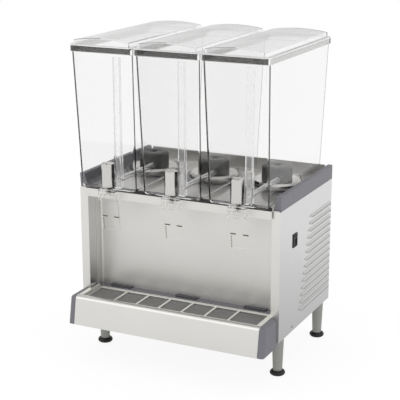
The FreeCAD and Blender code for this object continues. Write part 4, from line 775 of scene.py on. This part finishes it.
def copies_tree() -> bpy.types.NodeTree:
    """Make the tree that puts one shape on every point, turned to the point's own facing.

    Returns:
        The geometry tree.
    """
    tree, given = start_tree("copies_on_points", objects=("Shape",))
    shape = add(tree, "GeometryNodeObjectInfo", {"Object": given.outputs["Shape"]})
    facing = add(tree, "GeometryNodeInputNamedAttribute", {"Name": "facing"}, data_type="FLOAT_VECTOR")
    turn = add(tree, "FunctionNodeAlignRotationToVector", {"Vector": facing.outputs[0]}, axis="Z")
    copies = add(tree, "GeometryNodeInstanceOnPoints", {
        "Points": given.outputs["Geometry"], "Instance": shape.outputs["Geometry"],
        "Rotation": turn.outputs[0]})
    end_tree(tree, given, copies.outputs[0])
    return tree


def copies(name: str, shape: bpy.types.Mesh, places: list[tuple[Vector, Vector]],
           finish: Finish) -> bpy.types.Object:
    """Put copies of one shape on places, each turned to its facing.

    Args:
        name: the piece's name.
        shape: the shape, standing on the origin along Z.
        places: the place and the facing of each copy.
        finish: the copies' finish.

    Returns:
        One piece with all the copies.
    """
    template = bpy.data.objects.new("template", shape)
    bpy.context.collection.objects.link(template)
    points = bpy.data.meshes.new(name)
    points.from_pydata([place for place, _ in places], [], [])
    facing = points.attributes.new("facing", "FLOAT_VECTOR", "POINT")
    facing.data.foreach_set("vector", [value for _, way in places for value in way])
    thing = grown(name, points, copies_tree(), finish, Shape=template)
    bpy.data.objects.remove(template)
    return thing


# Sub-assemblies

@dataclass
class Bowl:
    """A clear tapered bowl: its wall, its thick rim and the collar round the cold plate."""

    frame: dict
    side: Side
    foot_half: float = 78.2 * MM
    mouth_half: float = 84.5 * MM
    foot_front: float = 24.4 * MM
    foot_rear: float = 34.2 * MM
    mouth_inset: float = 3.2 * MM
    wall: float = 3.0 * MM
    rim_depth: float = 16.0 * MM
    rim_corner: float = 9.0 * MM
    rim_edge: float = 1.2 * MM
    foot_round: float = 9.0 * MM
    front_round: float = 3.0 * MM
    corner: float = 8.0 * MM
    collar_radius: float = 66.5 * MM
    collar_wall: float = 3.5 * MM
    collar_height: float = 13.0 * MM
    cover_radius: float = 38.5 * MM

    def wall_ring(self, level: float, inset: float) -> list[Point]:
        """Give the ring of the wall at a level, moved inwards by an inset.

        Args:
            level: the ring's level.
            inset: how far the ring lies inside the outer face.

        Returns:
            The ring's points.
        """
        low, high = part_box(f"bowl_{self.side.value}")
        middle = (low[0] + high[0]) / 2
        share = (level - low[2]) / (high[2] - low[2])
        rise = level - low[2] - inset
        half = self.foot_half + (self.mouth_half - self.foot_half) * share - inset
        front = low[1] + self.foot_front + (self.mouth_inset - self.foot_front) * share + inset
        rear = high[1] - self.foot_rear + (self.foot_rear - self.mouth_inset) * share - inset
        wide = self.rounding(self.foot_round - inset, rise)
        small = self.rounding(max(self.front_round - inset, MM), rise)
        return ring((middle - half + wide, middle + half - wide), (front + small, rear - wide), level,
                    self.corner - inset)

    def rounding(self, radius: float, rise: float) -> float:
        """Give how far a rounded foot edge lies inside its wall at a rise."""
        short = max(radius - rise, 0.0)
        return radius - math.sqrt(max(radius * radius - short * short, 0.0))

    def levels(self, inset: float) -> list[float]:
        """Give the levels of the rings where the foot rounds.

        Args:
            inset: how far the rings lie inside the outer face.

        Returns:
            The levels, lowest first.
        """
        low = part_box(f"bowl_{self.side.value}")[0][2] + inset
        reach = self.foot_round - inset
        return [low + reach * (1 - math.cos(math.radians(angle))) for angle in range(0, 91, 10)]

    def rim(self, level: float, inset: float) -> list[Point]:
        """Give the ring of the thick rim's outer face.

        Args:
            level: the ring's level.
            inset: how far the ring lies inside the rim's face.

        Returns:
            The ring's points.
        """
        low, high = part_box(f"bowl_{self.side.value}")
        return ring((low[0] + inset, high[0] - inset), (low[1] + inset, high[1] - inset), level,
                    self.rim_corner - inset)

    def collar(self, radius: float, level: float, like: list[Point]) -> list[Point]:
        """Give a round ring whose points face those of a wall ring.

        Args:
            radius: the ring's radius.
            level: the ring's level.
            like: the wall ring whose points it faces.

        Returns:
            The ring's points.
        """
        low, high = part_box(f"bowl_{self.side.value}")
        middle = (low[0] + high[0]) / 2
        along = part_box(f"pump_cover_{self.side.value}")[1][1] - self.cover_radius
        turns = [math.atan2(y - along, x - middle) for x, y, _ in like]
        return [(middle + radius * math.cos(turn), along + radius * math.sin(turn), level)
                for turn in turns]

    def build(self) -> None:
        """Make the bowl as one closed shell."""
        node = f"bowl_{self.side.value}"
        low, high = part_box(node)
        edge = self.rim_edge
        top = high[2]
        rim_low = top - self.rim_depth
        floor = low[2] + self.wall
        outer = [self.wall_ring(level, 0.0) for level in self.levels(0.0)]
        inner = [self.wall_ring(level, self.wall) for level in self.levels(self.wall)]
        outside = self.collar_radius + self.collar_wall
        crest = low[2] + self.collar_height
        rings = [self.collar(self.collar_radius, low[2], outer[0]), *outer,
                 self.wall_ring(rim_low - edge, 0.0), self.wall_ring(rim_low, -edge),
                 self.rim(rim_low, edge), self.rim(rim_low + edge, 0.0), self.rim(top - edge, 0.0),
                 self.rim(top, edge), self.wall_ring(top, self.wall - edge),
                 self.wall_ring(top - edge, self.wall), *reversed(inner),
                 self.collar(outside + MM, floor, outer[0]),
                 self.collar(outside, floor + MM, outer[0]),
                 self.collar(outside, crest - MM, outer[0]),
                 self.collar(outside - MM, crest, outer[0]),
                 self.collar(self.collar_radius + MM, crest, outer[0]),
                 self.collar(self.collar_radius, crest - MM, outer[0])]
        thing = new_object(f"{node}_look", skin(rings), CLEAR_BOWL)
        flattened(thing, 50.0)
        self.paint_dark_faces(thing.data, rim_low, low[2] + self.foot_round)
        seated(self.frame, thing, node)

    def paint_dark_faces(self, mesh: bpy.types.Mesh, rim_low: float, foot_top: float) -> None:
        """Paint the rim's front dark grey and its sides a lighter grey, and paint the front corners dark
        edge-on: painted reflection and painted shade.

        Args:
            mesh: the bowl's mesh.
            rim_low: the level of the rim's underside.
            foot_top: the level where the foot's rounding ends.
        """
        mesh.materials.append(material_of(PAINTED_DARK_BOWL))
        mesh.materials.append(material_of(RIM_SIDE_PAINTED_SHADE))
        mesh.materials.append(material_of(CORNER_PAINTED_SHADE))
        # Painted reflection on the rim's front (slot 1), painted grey shade on the rim's sides (slot 2),
        # painted dark shade on the front corners edge-on (slot 3).
        for face in mesh.polygons:
            outward = face.normal
            rim = outward.y < -0.9 and face.center.z > rim_low
            front = face.center.y < 0 and foot_top < face.center.z < rim_low
            if rim:
                face.material_index = 1
            elif abs(outward.x) > 0.9 and face.center.z > rim_low:
                face.material_index = 2
            elif front and outward.y < -0.1 and abs(outward.x) > 0.1:
                face.material_index = 3


@dataclass
class Lid:
    """A clear lid: flat flange, arched vault and the lip inside the bowl's mouth."""

    frame: dict
    side: Side
    wall: float = 2.0 * MM
    flange: float = 9.5 * MM
    side_rise: float = 12.0 * MM
    crown_rise: float = 7.0 * MM
    lip_depth: float = 6.0 * MM
    lip_inset: float = 7.7 * MM
    lip_corner: float = 5.0 * MM
    flange_corner: float = 9.0 * MM
    vault_corner: float = 3.0 * MM
    edge: float = 0.8 * MM
    shade_depth: float = 2.4 * MM
    steps: int = 12
    extra: int = 11

    def level(self, x: float, middle: float, half: float, foot: float) -> float:
        """Give the level of the vault's arch at a place across it.

        Args:
            x: the place.
            middle: the arch's middle.
            half: half the arch's width.
            foot: the level where the vault starts.

        Returns:
            The level.
        """
        radius = (half * half / self.crown_rise + self.crown_rise) / 2
        share = min(abs(x - middle), half)
        return foot + self.side_rise + self.crown_rise - radius + math.sqrt(radius ** 2 - share ** 2)

    def vault(self, inset: float, drop: float) -> list[Point]:
        """Give a ring on the vault's arched top.

        Args:
            inset: how far the ring lies inside the vault's outer wall.
            drop: how far it lies below the arch.

        Returns:
            The ring's points.
        """
        low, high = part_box(f"lid_{self.side.value}")
        middle = (low[0] + high[0]) / 2
        half = (high[0] - low[0]) / 2 - self.flange
        foot = low[2] + self.lip_depth
        x = (middle - half + inset, middle + half - inset)
        y = (low[1] + self.flange / 2 + inset, high[1] - self.flange / 2 - inset)
        flat = ring(x, y, 0.0, max(self.vault_corner - inset, 0.4 * MM), 3, self.extra)
        return [(px, py, self.level(px, middle, half, foot) - drop) for px, py, _ in flat]

    def wall_foot(self, inset: float, level: float) -> list[Point]:
        """Give a level ring on the vault's upright wall."""
        return [(x, y, level) for x, y, _ in self.vault(inset, 0.0)]

    def plate(self, inset: float, level: float, corner: float) -> list[Point]:
        """Give a level ring of the flange or the lip.

        Args:
            inset: how far the ring lies inside the lid's box.
            level: the ring's level.
            corner: the corner radius.

        Returns:
            The ring's points.
        """
        low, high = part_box(f"lid_{self.side.value}")
        return ring((low[0] + inset, high[0] - inset), (low[1] + inset, high[1] - inset), level,
                    corner, 3, self.extra)

    def paint_dark_faces(self, mesh: bpy.types.Mesh) -> None:
        """Paint the left part of the lid's front edge dark grey, a painted shade.

        Args:
            mesh: the lid's mesh.
        """
        mesh.materials.append(material_of(PAINTED_DARK_BOWL))
        low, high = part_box(f"lid_{self.side.value}")
        # Painted shade: the faces of the front-left edge strip get the dark grey colour.
        for face in mesh.polygons:
            spot, outward = face.center, face.normal
            front = spot.y < low[1] + self.flange / 2 + self.shade_depth and outward.z > 0.25
            if front and spot.x < (low[0] + high[0]) / 2 and spot.z > low[2] + self.lip_depth * 2:
                face.material_index = 1

    def build(self) -> None:
        """Make the lid as one closed shell, from the middle of its top round to its hollow."""
        node = f"lid_{self.side.value}"
        low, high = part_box(node)
        edge = self.edge
        half = (high[0] - low[0]) / 2 - self.flange
        foot = low[2] + self.lip_depth
        thick = foot + self.wall
        insets = [half * (1 - step / self.steps) * 0.99 for step in range(self.steps)]
        corner = self.flange_corner
        inner = self.wall
        rings = [self.vault(inset, 0.0) for inset in insets]
        rings += [self.vault(self.shade_depth, 0.0), self.vault(edge, 0.0), self.vault(0.0, edge),
                  self.wall_foot(0.0, thick)]
        rings += [self.plate(edge, thick, corner - edge), self.plate(0.0, thick - edge, corner),
                  self.plate(0.0, foot + edge, corner), self.plate(edge, foot, corner - edge)]
        rings += [self.plate(self.lip_inset, foot, self.lip_corner),
                  self.plate(self.lip_inset, low[2] + edge, self.lip_corner),
                  self.plate(self.lip_inset + edge, low[2], self.lip_corner - edge)]
        rings += [self.wall_foot(inner * 2 + edge, low[2]), self.wall_foot(inner * 2, low[2] + edge)]
        rings += [self.vault(inner * 2, inner + edge), self.vault(inner * 2 + edge, inner)]
        rings += [self.vault(inset, inner) for inset in reversed(insets) if inset > inner * 3]
        thing = new_object(f"{node}_look", skin(rings, closed=False), CLEAR_LID)
        flattened(thing, 50.0)
        self.paint_dark_faces(thing.data)
        seated(self.frame, thing, node)


@dataclass
class Tap:
    """The tap and spray fittings of one bowl, with the marks printed on its lever."""

    frame: dict
    side: Side
    dash_length: float = 15.5 * MM
    dash_height: float = 3.4 * MM
    dash_level: float = 381.8 * MM
    dash_places: Span = (-15.4 * MM, 17.8 * MM)
    dot_size: float = 3.2 * MM
    dot_place: float = -20.6 * MM
    dot_top: float = 374.5 * MM
    dot_pitch: float = 5.4 * MM
    dot_count: int = 6
    ink: float = 0.12 * MM

    def build(self) -> None:
        """Dress the tap's pieces and print the marks on its paddle."""
        side = self.side.value
        carried(self.frame, f"spray_tube_{side}", CLEAR_TUBE, 1.0, 3)
        carried(self.frame, f"tap_housing_{side}", CLEAR_TAP, 0.6)
        carried(self.frame, f"tap_lever_{side}", CLEAR_TAP, 0.8, 3)
        carried(self.frame, f"valve_sleeve_{side}", STEEL_TURNED, 0.0)
        carried(self.frame, f"valve_plunger_{side}", PALE_ACETAL, 0.0)
        carried(self.frame, f"pump_cover_{side}", PUMP_ABS, 0.0)
        carried(self.frame, f"impeller_{side}", PALE_ACETAL, 0.3)
        self.marks()

    def marks(self) -> None:
        """Print two dashes and a column of dots on the front of the lever's paddle."""
        node = f"tap_lever_{self.side.value}"
        low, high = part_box(node)
        middle = (low[0] + high[0]) / 2
        tree = BVHTree.FromBMesh(merged(self.frame, node))
        work = bmesh.new()
        for place in self.dash_places:
            self.patch(work, tree, (middle + place, self.dash_level), (self.dash_length, self.dash_height))
        for index in range(self.dot_count):
            spot = (middle + self.dot_place, self.dot_top - self.dot_pitch * index)
            self.patch(work, tree, spot, (self.dot_size, self.dot_size))
        thing = new_object(f"lever_marks_{self.side.value}", finished(work, "marks"), MARK_INK)
        riding(self.frame, thing, node)

    def patch(self, work: bmesh.types.BMesh, tree: BVHTree, spot: Span, size: Span) -> None:
        """Add one thin printed patch, with rounded ends, on the paddle's front face.

        Args:
            work: the mesh that takes the patch.
            tree: the lever's surface.
            spot: the patch's middle, across and up.
            size: the patch's width and height.
        """
        start = Vector((spot[0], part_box(f"tap_lever_{self.side.value}")[0][1] - 0.1, spot[1]))
        place, normal, _, _ = tree.ray_cast(start, Vector((0, 1, 0)))
        up = Vector((0, 0, 1))
        up = (up - normal * up.dot(normal)).normalized()
        across = up.cross(normal)
        outline = ring((-size[0] / 2, size[0] / 2), (-size[1] / 2, size[1] / 2), 0.0, size[1] * 0.49, 3)
        rows = []
        for depth in (-self.ink / 4, self.ink):
            rows.append([work.verts.new(place + across * u + up * v + normal * depth)
                         for u, v, _ in outline])
        count = len(outline)
        for index in range(count):
            after = (index + 1) % count
            work.faces.new((rows[0][index], rows[0][after], rows[1][after], rows[1][index]))
        work.faces.new(list(reversed(rows[0])))
        work.faces.new(rows[1])
        bmesh.ops.recalc_face_normals(work, faces=work.faces)


@dataclass
class Cabinet:
    """The cabinet's sheets, trims, legs, screws and fittings."""

    frame: dict
    head_radius: float = 3.6 * MM
    head_height: float = 1.6 * MM
    recess: float = 1.3 * MM
    sole: float = 17.5 * MM
    foot_radius: float = 19.5 * MM
    neck: float = 17.0 * MM
    dish: float = 13.5 * MM
    foot_height: float = 11.0 * MM
    lip_depth: float = 0.6 * MM
    hood_depth: float = 4.0 * MM

    def build(self) -> None:
        """Dress each node of the cabinet."""
        plan = {
            "base_pan": (ZINC_SHEET, 0.3), "rear_cover": (ZINC_SHEET, 0.3),
            "side_panel_left": (STEEL_SIDE, 0.35), "side_panel_right": (STEEL_SIDE, 0.35),
            "splash_panel": (STEEL_UPRIGHT, 0.3), "deck_pan": (STEEL_DECK, 0.4),
            "deck_rail_left": (GREY_ABS, 1.0), "deck_rail_right": (GREY_ABS, 1.0),
            "legs": (LEG_PAINT, 0.6), "switch_housing": (BLACK_ABS, 0.6),
            "rocker": (BLACK_ABS, 0.8), "power_inlet": (BLACK_ABS, 0.6),
            "cold_plates": (STEEL_TURNED, 0.6), "plate_gaskets": (BLACK_RUBBER, 0.8),
            "rest_strip": (BLACK_RUBBER, 1.0),
        }
        for node, (finish, edge) in plan.items():
            thing = carried(self.frame, node, finish, edge)
            if node.startswith("side_panel"):
                self.louvre_shade_and_flange(thing.data)
        self.feet()
        self.screws()

    def louvre_shade_and_flange(self, mesh: bpy.types.Mesh) -> None:
        """Paint a dark shadow line on each louvre's lip and a painted shade on each hood's slope, and give
        the panel's front flange its own grain.

        Args:
            mesh: the panel's mesh.
        """
        mesh.materials.append(material_of(STEEL_LIP_PAINTED_SHADOW))
        mesh.materials.append(material_of(STEEL_HOOD_PAINTED_SHADE))
        mesh.materials.append(material_of(STEEL_ACROSS))
        proud = max(abs(vertex.co.x) for vertex in mesh.vertices)
        for face in mesh.polygons:
            out = abs(face.center.x)
            # Painted shadow on the lip faces, painted shade on the hood slopes.
            if out > proud - self.lip_depth and abs(face.normal.x) > 0.9:
                face.material_index = 1
            elif out > proud - self.hood_depth and face.normal.z > 0.3:
                face.material_index = 2
            elif face.normal.y < -0.9:
                face.material_index = 3

    def feet(self) -> None:
        """Stand a dished rubber foot under each leg."""
        top = self.foot_height
        profile = [(self.sole - MM, 0.0), (self.sole, MM), (self.foot_radius - 0.5 * MM, 2.5 * MM),
                   (self.foot_radius, 4 * MM), (self.foot_radius, 6.5 * MM),
                   (self.foot_radius - MM, 8.5 * MM), (self.neck, top - 0.8 * MM),
                   (self.neck - MM, top), (self.dish + MM, top), (self.dish, top - 0.8 * MM),
                   (self.dish - 2 * MM, top - 1.2 * MM)]
        shape = skin([circle(radius, level) for radius, level in profile], closed=False)
        places = []
        for low, high in islands(self.frame, "rubber_feet"):
            middle = (low + high) / 2
            places.append((Vector((middle.x, middle.y, low.z)), Vector((0, 0, 1))))
        seated(self.frame, copies("rubber_feet_look", shape, places, BLACK_RUBBER), "rubber_feet")

    def screws(self) -> None:
        """Put a cross-recessed head on each screw of the panels."""
        shape = skin(self.screw_rings(), closed=False)
        places = []
        for low, high in islands(self.frame, "panel_screws"):
            places.append(self.screw_place(low, high))
        seated(self.frame, copies("panel_screws_look", shape, places, PLATED_SCREW), "panel_screws")

    def screw_place(self, low: Vector, high: Vector) -> tuple[Vector, Vector]:
        """Find a screw's seat and facing from the box of its solid.

        Args:
            low: the box's lowest corner.
            high: the box's highest corner.

        Returns:
            The middle of the head's underside and the way that the head faces.
        """
        size = high - low
        seat = (low + high) / 2
        axis = max(range(3), key=lambda index: size[index])
        way = Vector((0, 0, 0))
        way[axis] = math.copysign(1, seat[axis])
        seat[axis] = (high if way[axis] > 0 else low)[axis] - way[axis] * self.head_height
        return seat, way

    def screw_rings(self) -> list[list[Point]]:
        """Give the rings of a pan head, from its seat over its rim into its recess.

        Returns:
            The rings, outermost first.
        """
        height = self.head_height
        dome = [(1.0, 0.0), (1.0, 0.45), (0.93, 0.7), (0.75, 0.9), (0.55, 1.0)]
        rings = [circle(self.head_radius * wide, height * high, 24) for wide, high in dome]
        for share, depth in ((1.0, 0.98), (0.75, 0.3)):
            points = []
            for x, y, z in circle(self.recess * share, height * depth, 24):
                lobe = 0.5 + 0.5 * abs(math.cos(2 * math.atan2(y, x))) ** 3
                points.append((x * lobe, y * lobe, z))
            rings.append(points)
        return rings


@dataclass
class Tray:
    """The drip tray with its end caps, cup grille, woven panels and sill."""

    frame: dict
    pitch: float = 3.4 * MM
    wire: float = 1.5 * MM
    margin: float = 1.0 * MM
    pad_rise: float = 1.0 * MM

    def build(self) -> None:
        """Dress each node of the tray."""
        carried(self.frame, "drip_tray", STEEL_ACROSS, 0.5, 3)
        for side in ("left", "right"):
            carried(self.frame, f"tray_end_cap_{side}", GREY_ABS, 1.0, 3)
        carried(self.frame, "cup_grille", STEEL_ACROSS, 0.5)
        self.panels()
        self.sill()

    def panels(self) -> None:
        """Weave a panel of wires under each field of the grille."""
        tree = cloth_tree()
        work = bmesh.new()
        seat = bpy.data.meshes.new("seat")
        seat.from_pydata([(0, 0, 0)], [], [])
        for low, high in islands(self.frame, "grille_inserts"):
            size = high - low
            middle = (low + high) / 2
            piece = grown("panel", seat.copy(), tree, WIRE_CLOTH, Width=size.x - self.margin * 2,
                          Depth=size.y - self.margin * 2, Pitch=self.pitch, Wire=self.wire,
                          Middle=(middle.x, middle.y, high.z - self.wire / 2))
            work.from_mesh(piece.data)
            bpy.data.objects.remove(piece)
        thing = new_object("grille_panels", finished(work, "panels"), WIRE_CLOTH)
        seated(self.frame, thing, "grille_inserts")

    def sill(self) -> None:
        """Dress the sill and give its raised pads a darker finish."""
        thing = carried(self.frame, "splash_sill", SILL_ABS, 0.8)
        thing.data.materials.append(material_of(PAD_ABS))
        low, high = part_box("splash_sill")
        for face in thing.data.polygons:
            if face.center.z > low[2] + (high[2] - low[2]) / 2 + self.pad_rise:
                face.material_index = 1


@dataclass
class Machinery:
    """The cooling parts inside the cabinet."""

    frame: dict

    def build(self) -> None:
        """Dress each node of the cooling machinery."""
        plan = {
            "pump_motors": BLACK_ENAMEL, "compressor": BLACK_ENAMEL,
            "compressor_mounts": BLACK_RUBBER, "condenser": FIN_ALUMINIUM,
            "fan_motor": BLACK_ENAMEL, "fan_blade": BLACK_ABS, "refrigerant_tubes": COPPER,
        }
        for node, finish in plan.items():
            self.dress(node, finish)

    def dress(self, node: str, finish: Moulded) -> None:
        """Give a CAD node its material and keep its mesh.

        Args:
            node: the CAD node.
            finish: its finish.
        """
        mesh = self.frame["nodes"][node].data
        mesh.materials.clear()
        mesh.materials.append(material_of(finish))
        LOG.info("node %s dressed", node)


@dataclass
class Studio:
    """The pale floor, the soft light and the camera."""

    azimuth: float = 25.70
    elevation: float = 15.64
    place: Point = (1.2564, -2.5896, 1.2095)
    lens: float = 104.08
    shift: Span = (-0.0124, 0.002)
    floor_half: float = 1.6
    floor_glow: float = 0.88
    floor_white: float = 1.02
    floor_mirrored_shade: float = 0.6
    world_level: float = 0.72
    clear_level: float = 0.95
    edge_level: float = 0.35
    front_level: float = 0.95
    rear_level: float = 0.85
    left_level: float = 0.5
    top_share: float = 0.55

    def camera(self) -> None:
        """Put the camera where the photograph was taken."""
        turn, tilt = math.radians(self.azimuth), math.radians(self.elevation)
        ahead = Vector((-math.sin(turn) * math.cos(tilt), math.cos(turn) * math.cos(tilt),
                        -math.sin(tilt)))
        right = Vector((math.cos(turn), math.sin(turn), 0))
        up = (-ahead).cross(right)
        data = bpy.data.cameras.new("camera")
        data.sensor_width = 36
        data.lens = self.lens
        data.shift_x, data.shift_y = self.shift
        data.clip_end = 50
        thing = bpy.data.objects.new("camera", data)
        bpy.context.collection.objects.link(thing)
        basis = Matrix((right, up, -ahead)).transposed().to_4x4()
        thing.matrix_world = Matrix.Translation(self.place) @ basis
        bpy.context.scene.camera = thing

    def lamp(self, name: str, place: Point, target: Point, size: Span, power: float) -> None:
        """Hang a soft rectangular lamp that faces a target.

        Args:
            name: the lamp's name.
            place: its place in metres.
            target: the point that it faces.
            size: its width and height in metres.
            power: its power in watts.
        """
        data = bpy.data.lights.new(name, "AREA")
        data.shape = "RECTANGLE"
        data.size, data.size_y = size
        data.energy = power
        thing = bpy.data.objects.new(name, data)
        bpy.context.collection.objects.link(thing)
        way = Vector(target) - Vector(place)
        thing.matrix_world = Matrix.Translation(place) @ way.to_track_quat("-Z", "Y").to_matrix().to_4x4()

    def clear_light(self, tree: bpy.types.NodeTree, way: bpy.types.Node) -> bpy.types.NodeSocket:
        """Give the light that clear walls let through: white ahead, dimmer aside and above.

        Args:
            tree: the world's node tree.
            way: the node that separates the ray's direction.

        Returns:
            The strength.
        """
        aside = add(tree, "ShaderNodeMath", {0: way.outputs["X"]}, operation="ABSOLUTE")
        band = spread(tree, aside.outputs[0], 1.0, self.edge_level, 0.62, 0.75)
        above = spread(tree, way.outputs["Z"], 1.0, self.clear_level, 0.02, 0.2)
        return add(tree, "ShaderNodeMath", {0: band, 1: above}, operation="MULTIPLY").outputs[0]

    def steel_light(self, tree: bpy.types.NodeTree, way: bpy.types.Node) -> bpy.types.NodeSocket:
        """Give the light that gloss mirrors: a white floor, a bright front and a dim top.

        Args:
            tree: the world's node tree.
            way: the node that separates the ray's direction.

        Returns:
            The strength.
        """
        front = spread(tree, way.outputs["Y"], self.front_level, self.rear_level, -0.3, 0.5)
        above = spread(tree, way.outputs["Z"], 1.0, self.top_share, 0.35, 0.8)
        beside = spread(tree, way.outputs["X"], self.left_level, 1.0, -0.95, -0.7)
        room = add(tree, "ShaderNodeMath", {0: front, 1: beside}, operation="MULTIPLY")
        sky = add(tree, "ShaderNodeMath", {0: room.outputs[0], 1: above}, operation="MULTIPLY")
        floor = spread(tree, way.outputs["Z"], 1.0, 0.0, -0.02, 0.08)
        return add(tree, "ShaderNodeMath", {0: sky.outputs[0], 1: floor},
                   operation="MAXIMUM").outputs[0]

    def world(self) -> None:
        """Light the room, with a white backdrop for the eye and through clear walls."""
        world = bpy.data.worlds.new("room")
        world.use_nodes = True
        tree = world.node_tree
        tree.nodes.clear()
        path = add(tree, "ShaderNodeLightPath")
        place = add(tree, "ShaderNodeTexCoord")
        way = add(tree, "ShaderNodeSeparateXYZ", {0: place.outputs["Generated"]})
        level = add(tree, "ShaderNodeMix", {
            "Factor": path.outputs["Is Glossy Ray"], "A": self.world_level,
            "B": self.steel_light(tree, way)}).outputs["Result"]
        level = add(tree, "ShaderNodeMix", {
            "Factor": path.outputs["Is Transmission Ray"], "A": level,
            "B": self.clear_light(tree, way)}).outputs["Result"]
        level = add(tree, "ShaderNodeMix", {
            "Factor": path.outputs["Is Camera Ray"], "A": level, "B": 1.0}).outputs["Result"]
        sky = add(tree, "ShaderNodeBackground", {"Color": linear("#FFFFFF"), "Strength": level})
        add(tree, "ShaderNodeOutputWorld", {"Surface": sky.outputs[0]})
        bpy.context.scene.world = world

    def floor(self) -> None:
        """Lay a white floor that keeps the shadow; where gloss mirrors it, it is painted darker near the
        cabinet, a painted shade.
        """
        half = self.floor_half
        mesh = skin([ring((-half, half), (-half, half), level, half / 4)
                     for level in (-0.02, -0.0005)], closed=False)
        material, tree = empty_material("floor_paper")
        path = add(tree, "ShaderNodeLightPath")
        fibre = add(tree, "ShaderNodeTexNoise", {"Vector": stretched(tree, (1, 1, 1)), "Scale": 40.0})
        paper = add(tree, "ShaderNodeBsdfPrincipled", {
            "Base Color": tinted(tree, fibre.outputs[0], "#FFFFFF", "#FEFEFE"), "Roughness": 0.9,
            "Specular IOR Level": 0.1})
        spot = add(tree, "ShaderNodeTexCoord")
        reach = add(tree, "ShaderNodeVectorMath", {0: spot.outputs["Object"]}, operation="LENGTH")
        # Painted shade: in mirrors the floor glows dimmer close to the cabinet.
        level = add(tree, "ShaderNodeMix", {
            "Factor": path.outputs["Is Glossy Ray"], "A": self.floor_white,
            "B": spread(tree, reach.outputs["Value"], self.floor_mirrored_shade, 1.0, 0.3, 1.3)})
        glow = add(tree, "ShaderNodeEmission", {"Strength": level.outputs["Result"]})
        clear = add(tree, "ShaderNodeMath", {0: path.outputs["Is Camera Ray"],
                                             1: path.outputs["Is Transmission Ray"]},
                    operation="MAXIMUM")
        seen = add(tree, "ShaderNodeMath", {0: clear.outputs[0], 1: path.outputs["Is Glossy Ray"]},
                   operation="MAXIMUM")
        share = add(tree, "ShaderNodeMath", {0: seen.outputs[0], 1: self.floor_glow},
                    operation="MULTIPLY")
        mix = add(tree, "ShaderNodeMixShader", {0: share.outputs[0], 1: paper.outputs[0],
                                                2: glow.outputs[0]})
        add(tree, "ShaderNodeOutputMaterial", {"Surface": mix.outputs[0]})
        thing = bpy.data.objects.new("floor", mesh)
        bpy.context.collection.objects.link(thing)
        mesh.materials.append(material)

    def build(self) -> None:
        """Set up the studio."""
        self.camera()
        self.world()
        self.floor()
        self.lamp("key", (-1.6, -3.0, 2.6), (0.0, 0.0, 0.45), (4.2, 3.2), 28.0)
        self.lamp("side", (3.2, -0.2, 1.8), (0.0, 0.0, 0.4), (3.2, 3.2), 16.0)
        self.lamp("top", (0.0, 0.2, 3.2), (0.0, 0.0, 0.4), (4.0, 4.0), 18.0)
        bpy.context.scene.view_settings.view_transform = "Standard"


def main() -> None:
    """Build the looks of every sub-assembly in order."""
    logging.basicConfig(level=logging.INFO, format="%(message)s")
    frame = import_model()
    Studio().build()
    Cabinet(frame).build()
    Tray(frame).build()
    Machinery(frame).build()
    for side in Side:
        Bowl(frame, side).build()
        Lid(frame, side).build()
        Tap(frame, side).build()


if __name__ == "__main__":
    main()
